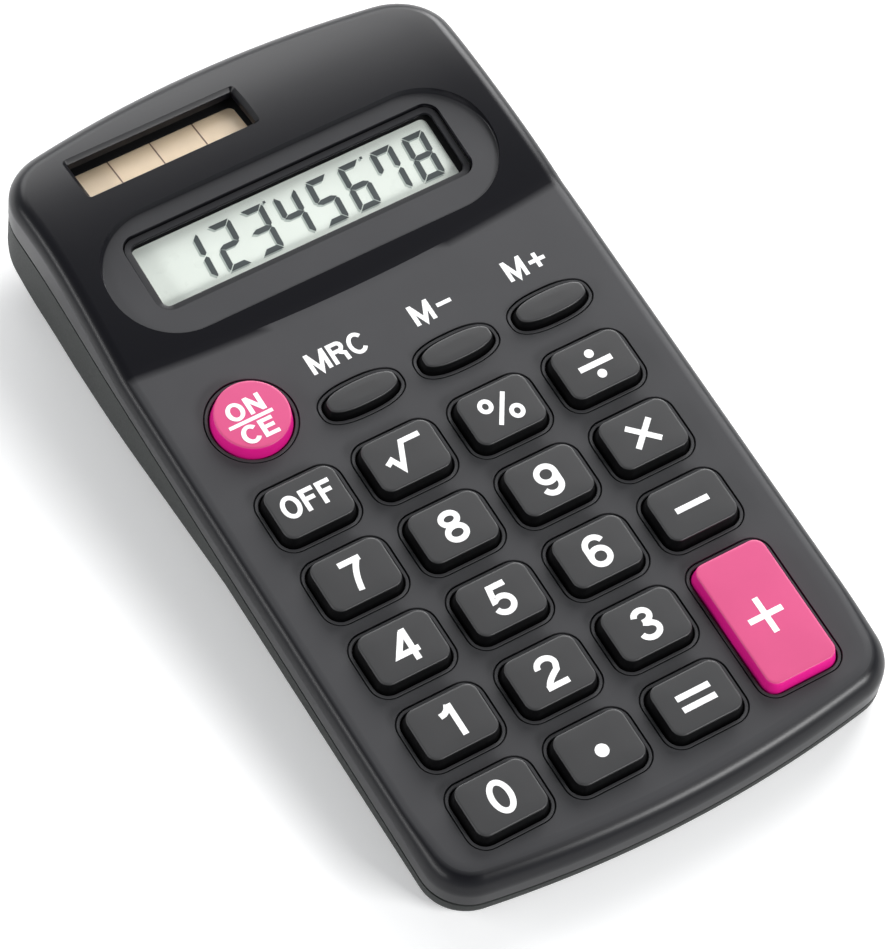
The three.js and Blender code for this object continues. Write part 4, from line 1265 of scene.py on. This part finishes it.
def segment_outline(key):
    """One of the seven bars, in the digit's own box. The bars at the sides mirror bar f."""
    w, h = LCD_DIGIT
    t = SEGMENT_WIDTH
    g = SEGMENT_GAP
    m = h / 2
    if key in "bcef":
        outline = [(0, h - 0.5), (0.16, h - 0.2), (t, h - t - g)]
        outline += [(t, m + t / 2 + g), (0.3, m + g), (0, m + 0.4)]
        if key in "ce":
            outline = [(x, h - y) for x, y in outline]
        return [(w - x, y) for x, y in outline] if key in "bc" else outline
    if key == "g":
        return [
            (g + 0.1, m), (t + g, m + t / 2), (w - t - g, m + t / 2),
            (w - g - 0.1, m), (w - t - g, m - t / 2), (t + g, m - t / 2),
        ]
    outline = [(g + 0.1, h), (w - g - 0.1, h), (w - t - g, h - t), (t + g, h - t)]
    return outline if key == "a" else [(x, h - y) for x, y in outline]


def display_digits(name, material, lift, dx, dy):
    """The number on the display, as bars that stand just proud of the glass. Drawn again in pale grey,
    lower and shifted by dx, dy, the bars are a painted shadow of the digits.
    """
    w, h = LCD_DIGIT
    comma = [(w + 0.2, h + 0.1), (w + 0.55, h + 0.1), (w + 0.55, h - 0.25), (w + 0.2, h - 0.25)]
    meshes = []
    for index, digit in enumerate("12345678"):
        left = LCD_FIRST_X + index * DIGIT_CELL
        shapes = [segment_outline(key) for key in SEGMENTS[digit]]
        if digit in "36":
            shapes.append(comma)
        for shape in shapes:
            outline = [(left + x + LCD_SLANT * y + dx, LCD_BASE_Y + y + dy) for x, y in shape]
            meshes.append(lofted("bar", [(outline, LCD_TOP + lift), (outline, LCD_TOP - BAR_SINK)]))
    made = new_object(name, join_meshes(name, meshes))
    finish_piece(made, "case", material, plane=DISPLAY_PLANE)


def solar_lines():
    """The lines between the solar cell's four parts."""
    half_width, half_length, lift = 0.09, 3.6, 0.02
    meshes = []
    for x in SOLAR_LINE_XS:
        left, right = x - half_width, x + half_width
        outline = [(left, -half_length), (left, half_length), (right, half_length), (right, -half_length)]
        meshes.append(lofted("line", [(outline, LCD_TOP + lift), (outline, LCD_TOP - BAR_SINK)]))
    made = new_object("solar_dividers", join_meshes("solar_dividers", meshes))
    finish_piece(made, "case", SOLAR_LINE, plane=SOLAR_PLANE)


def gasket_with_shade(name, outer, inner, plane):
    """A thin black frame on the underside of a window. It is partly a real frame and partly painted shade
    for the opening's shadowed walls.
    """
    build = Builder()
    pairs = ((outer, MASK_TOP), (inner, MASK_TOP), (inner, MASK_BOTTOM), (outer, MASK_BOTTOM))
    rings = [build.ring(inset_ring(ring, 0), z) for ring, z in pairs]
    for a, b in zip(rings, rings[1:] + rings[:1]):
        build.join(a, b)
    made = new_object(name, build.mesh(name))
    finish_piece(made, "case", GASKET_AND_SHADE, plane=plane)


# ---- the whole object

CAD_NODE_MATERIALS = (
    (CLEAR, ("display_window", "solar_window")),
    (LCD, ("lcd_glass",)),
    (FILM, ("lcd_reflector",)),
    (RUBBER, ("lcd_connector", "key_mat")),
    (SOLAR, ("solar_cell",)),
    (BOARD, ("main_board",)),
    (RESIN, ("controller_chip",)),
    (SLEEVE, ("capacitor",)),
    (LACQUER, ("resistor",)),
    (CELL, ("battery_cell",)),
    (STEEL, ("battery_contact_negative", "battery_contact_positive")),
    (RED_WIRE, ("solar_wire_red", "battery_wire_red")),
    (BLACK_WIRE, ("solar_wire_black", "battery_wire_black")),
    (ZINC, [f"{kind}_screw_{number}" for kind in ("case", "board") for number in range(1, 5)]),
)


def dress_cad_nodes():
    for material, nodes in CAD_NODE_MATERIALS:
        for node in nodes:
            data = frame["nodes"][node].data
            data.materials.clear()
            data.materials.append(material)


def gaskets_and_painted_shade():
    """The black frame under each window. Its opening is a little off the middle. This widens the frame on
    the right, and on the solar window also at the back, as painted shade for the opening's shadowed walls.
    """
    outer = rounded_rectangle(47, 12.6, 1)
    inner = shifted(rounded_rectangle(43.9, 9.7, 0.9), -0.15, 0.02)
    gasket_with_shade("display_gasket", outer, inner, DISPLAY_PLANE)
    outer = rounded_rectangle(26, 8, 1)
    inner = shifted(rounded_rectangle(24.3, 6.3, 0.9), -0.4, -0.5)
    gasket_with_shade("solar_gasket", outer, inner, SOLAR_PLANE)


def calculator():
    dress_cad_nodes()
    upper_case()
    lower_case()
    battery_cover()
    for node in KEY_NODES:
        key_cap(node)
    key_legends()
    case_labels()
    display_digits("display_digits", SEGMENT, 0.03, 0, 0)
    # A pale copy of the digits, shifted left and down, is their painted shadow.
    display_digits("display_digits_shade", SEGMENT_PAINTED_SHADOW, 0.012, -0.28, -0.2)
    solar_lines()
    gaskets_and_painted_shade()


# ---- floor, light and camera


# Sizes and places here are in metres.
FLOOR_SIZE = 3.2
FLOOR_GLOW = 0.22
ZENITH_LIGHT = 0.12
HORIZON_LIGHT = 0.7
SKY_COLOUR = (0.92, 0.96, 1, 1)
# Each softbox points at the origin: name, place, size and power in watts.
SOFTBOXES = (
    ("key_softbox", (1.05, 0.8, 0.7), (0.9, 0.8), 21),
    ("back_panel", (0.45, 1.1, 0.55), (1.2, 0.5), 10),
    ("front_softbox", (0.5, -0.85, 0.58), (0.5, 0.2), 9.5),
    ("left_softbox", (-0.95, 0.2, 0.45), (1.3, 0.16), 6),
)


def stage_floor():
    """A plain pale floor that glows a little, so that shadows stay soft."""
    mesh = bpy.data.meshes.new("floor")
    half = FLOOR_SIZE / 2
    corners = [(-half, -half, 0), (half, -half, 0), (half, half, 0), (-half, half, 0)]
    mesh.from_pydata(corners, [], [(0, 1, 2, 3)])
    floor = new_object("floor", mesh)
    pale = lin(250, 250, 250)
    paper = node_material("floor_paper", pale, 0.7, specular=0.2, spread=0.004, grain=0.6, depth=5)
    shader = paper.node_tree.nodes["Principled BSDF"]
    shader.inputs["Emission Color"].default_value = (1, 1, 1, 1)
    shader.inputs["Emission Strength"].default_value = FLOOR_GLOW
    floor.data.materials.append(paper)
    floor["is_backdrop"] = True


def area_light(name, place, size, power):
    light = bpy.data.lights.new(name, "AREA")
    light.shape = "RECTANGLE"
    light.size, light.size_y = size
    light.energy = power
    made = new_object(name, light)
    made.location = place
    made.rotation_mode = "QUATERNION"
    made.rotation_quaternion = (-Vector(place)).to_track_quat("-Z", "Y")


def studio_world():
    """A dim studio that is brighter towards the horizon than overhead."""
    world = bpy.data.worlds.new("studio")
    world.use_nodes = True
    tree = world.node_tree
    background = tree.nodes["Background"]
    place = tree.nodes.new("ShaderNodeTexCoord")
    split = tree.nodes.new("ShaderNodeSeparateXYZ")
    ramp = add_node(
        tree, "ShaderNodeMapRange", To_Min=HORIZON_LIGHT, To_Max=ZENITH_LIGHT, From_Max=0.75,
    )
    ramp.interpolation_type = "SMOOTHSTEP"
    tree.links.new(place.outputs["Generated"], split.inputs["Vector"])
    tree.links.new(split.outputs["Z"], ramp.inputs["Value"])
    tree.links.new(ramp.outputs["Result"], background.inputs["Strength"])
    background.inputs["Color"].default_value = SKY_COLOUR
    bpy.context.scene.world = world


# The camera's place is in the face frame, in millimetres, like its axes.
CAMERA_PLACE = Vector((-200.49, -243.51, 544.05))
CAMERA_RIGHT = Vector((0.85391, -0.51316, 0.08665))
CAMERA_UP = Vector((0.4139, 0.77057, 0.48468))
FOCAL_LENGTH = 201.34
SENSOR_WIDTH = 36


def photo_camera():
    camera = bpy.data.cameras.new("camera")
    camera.lens = FOCAL_LENGTH
    camera.sensor_width = SENSOR_WIDTH
    camera.sensor_fit = "HORIZONTAL"
    camera.clip_start, camera.clip_end = 0.01, 10
    made = new_object("camera", camera)
    back = CAMERA_RIGHT.cross(CAMERA_UP).normalized()
    up = back.cross(CAMERA_RIGHT).normalized()
    right = up.cross(back)
    axes = Matrix((right, up, back)).transposed()
    made.rotation_mode = "QUATERNION"
    made.rotation_quaternion = (turn.to_3x3() @ axes).to_quaternion()
    made.location = FACE @ CAMERA_PLACE
    bpy.context.scene.camera = made


calculator()
stage_floor()
studio_world()
for softbox in SOFTBOXES:
    area_light(*softbox)
photo_camera()
bpy.context.scene.view_settings.view_transform = "Standard"

low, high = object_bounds()
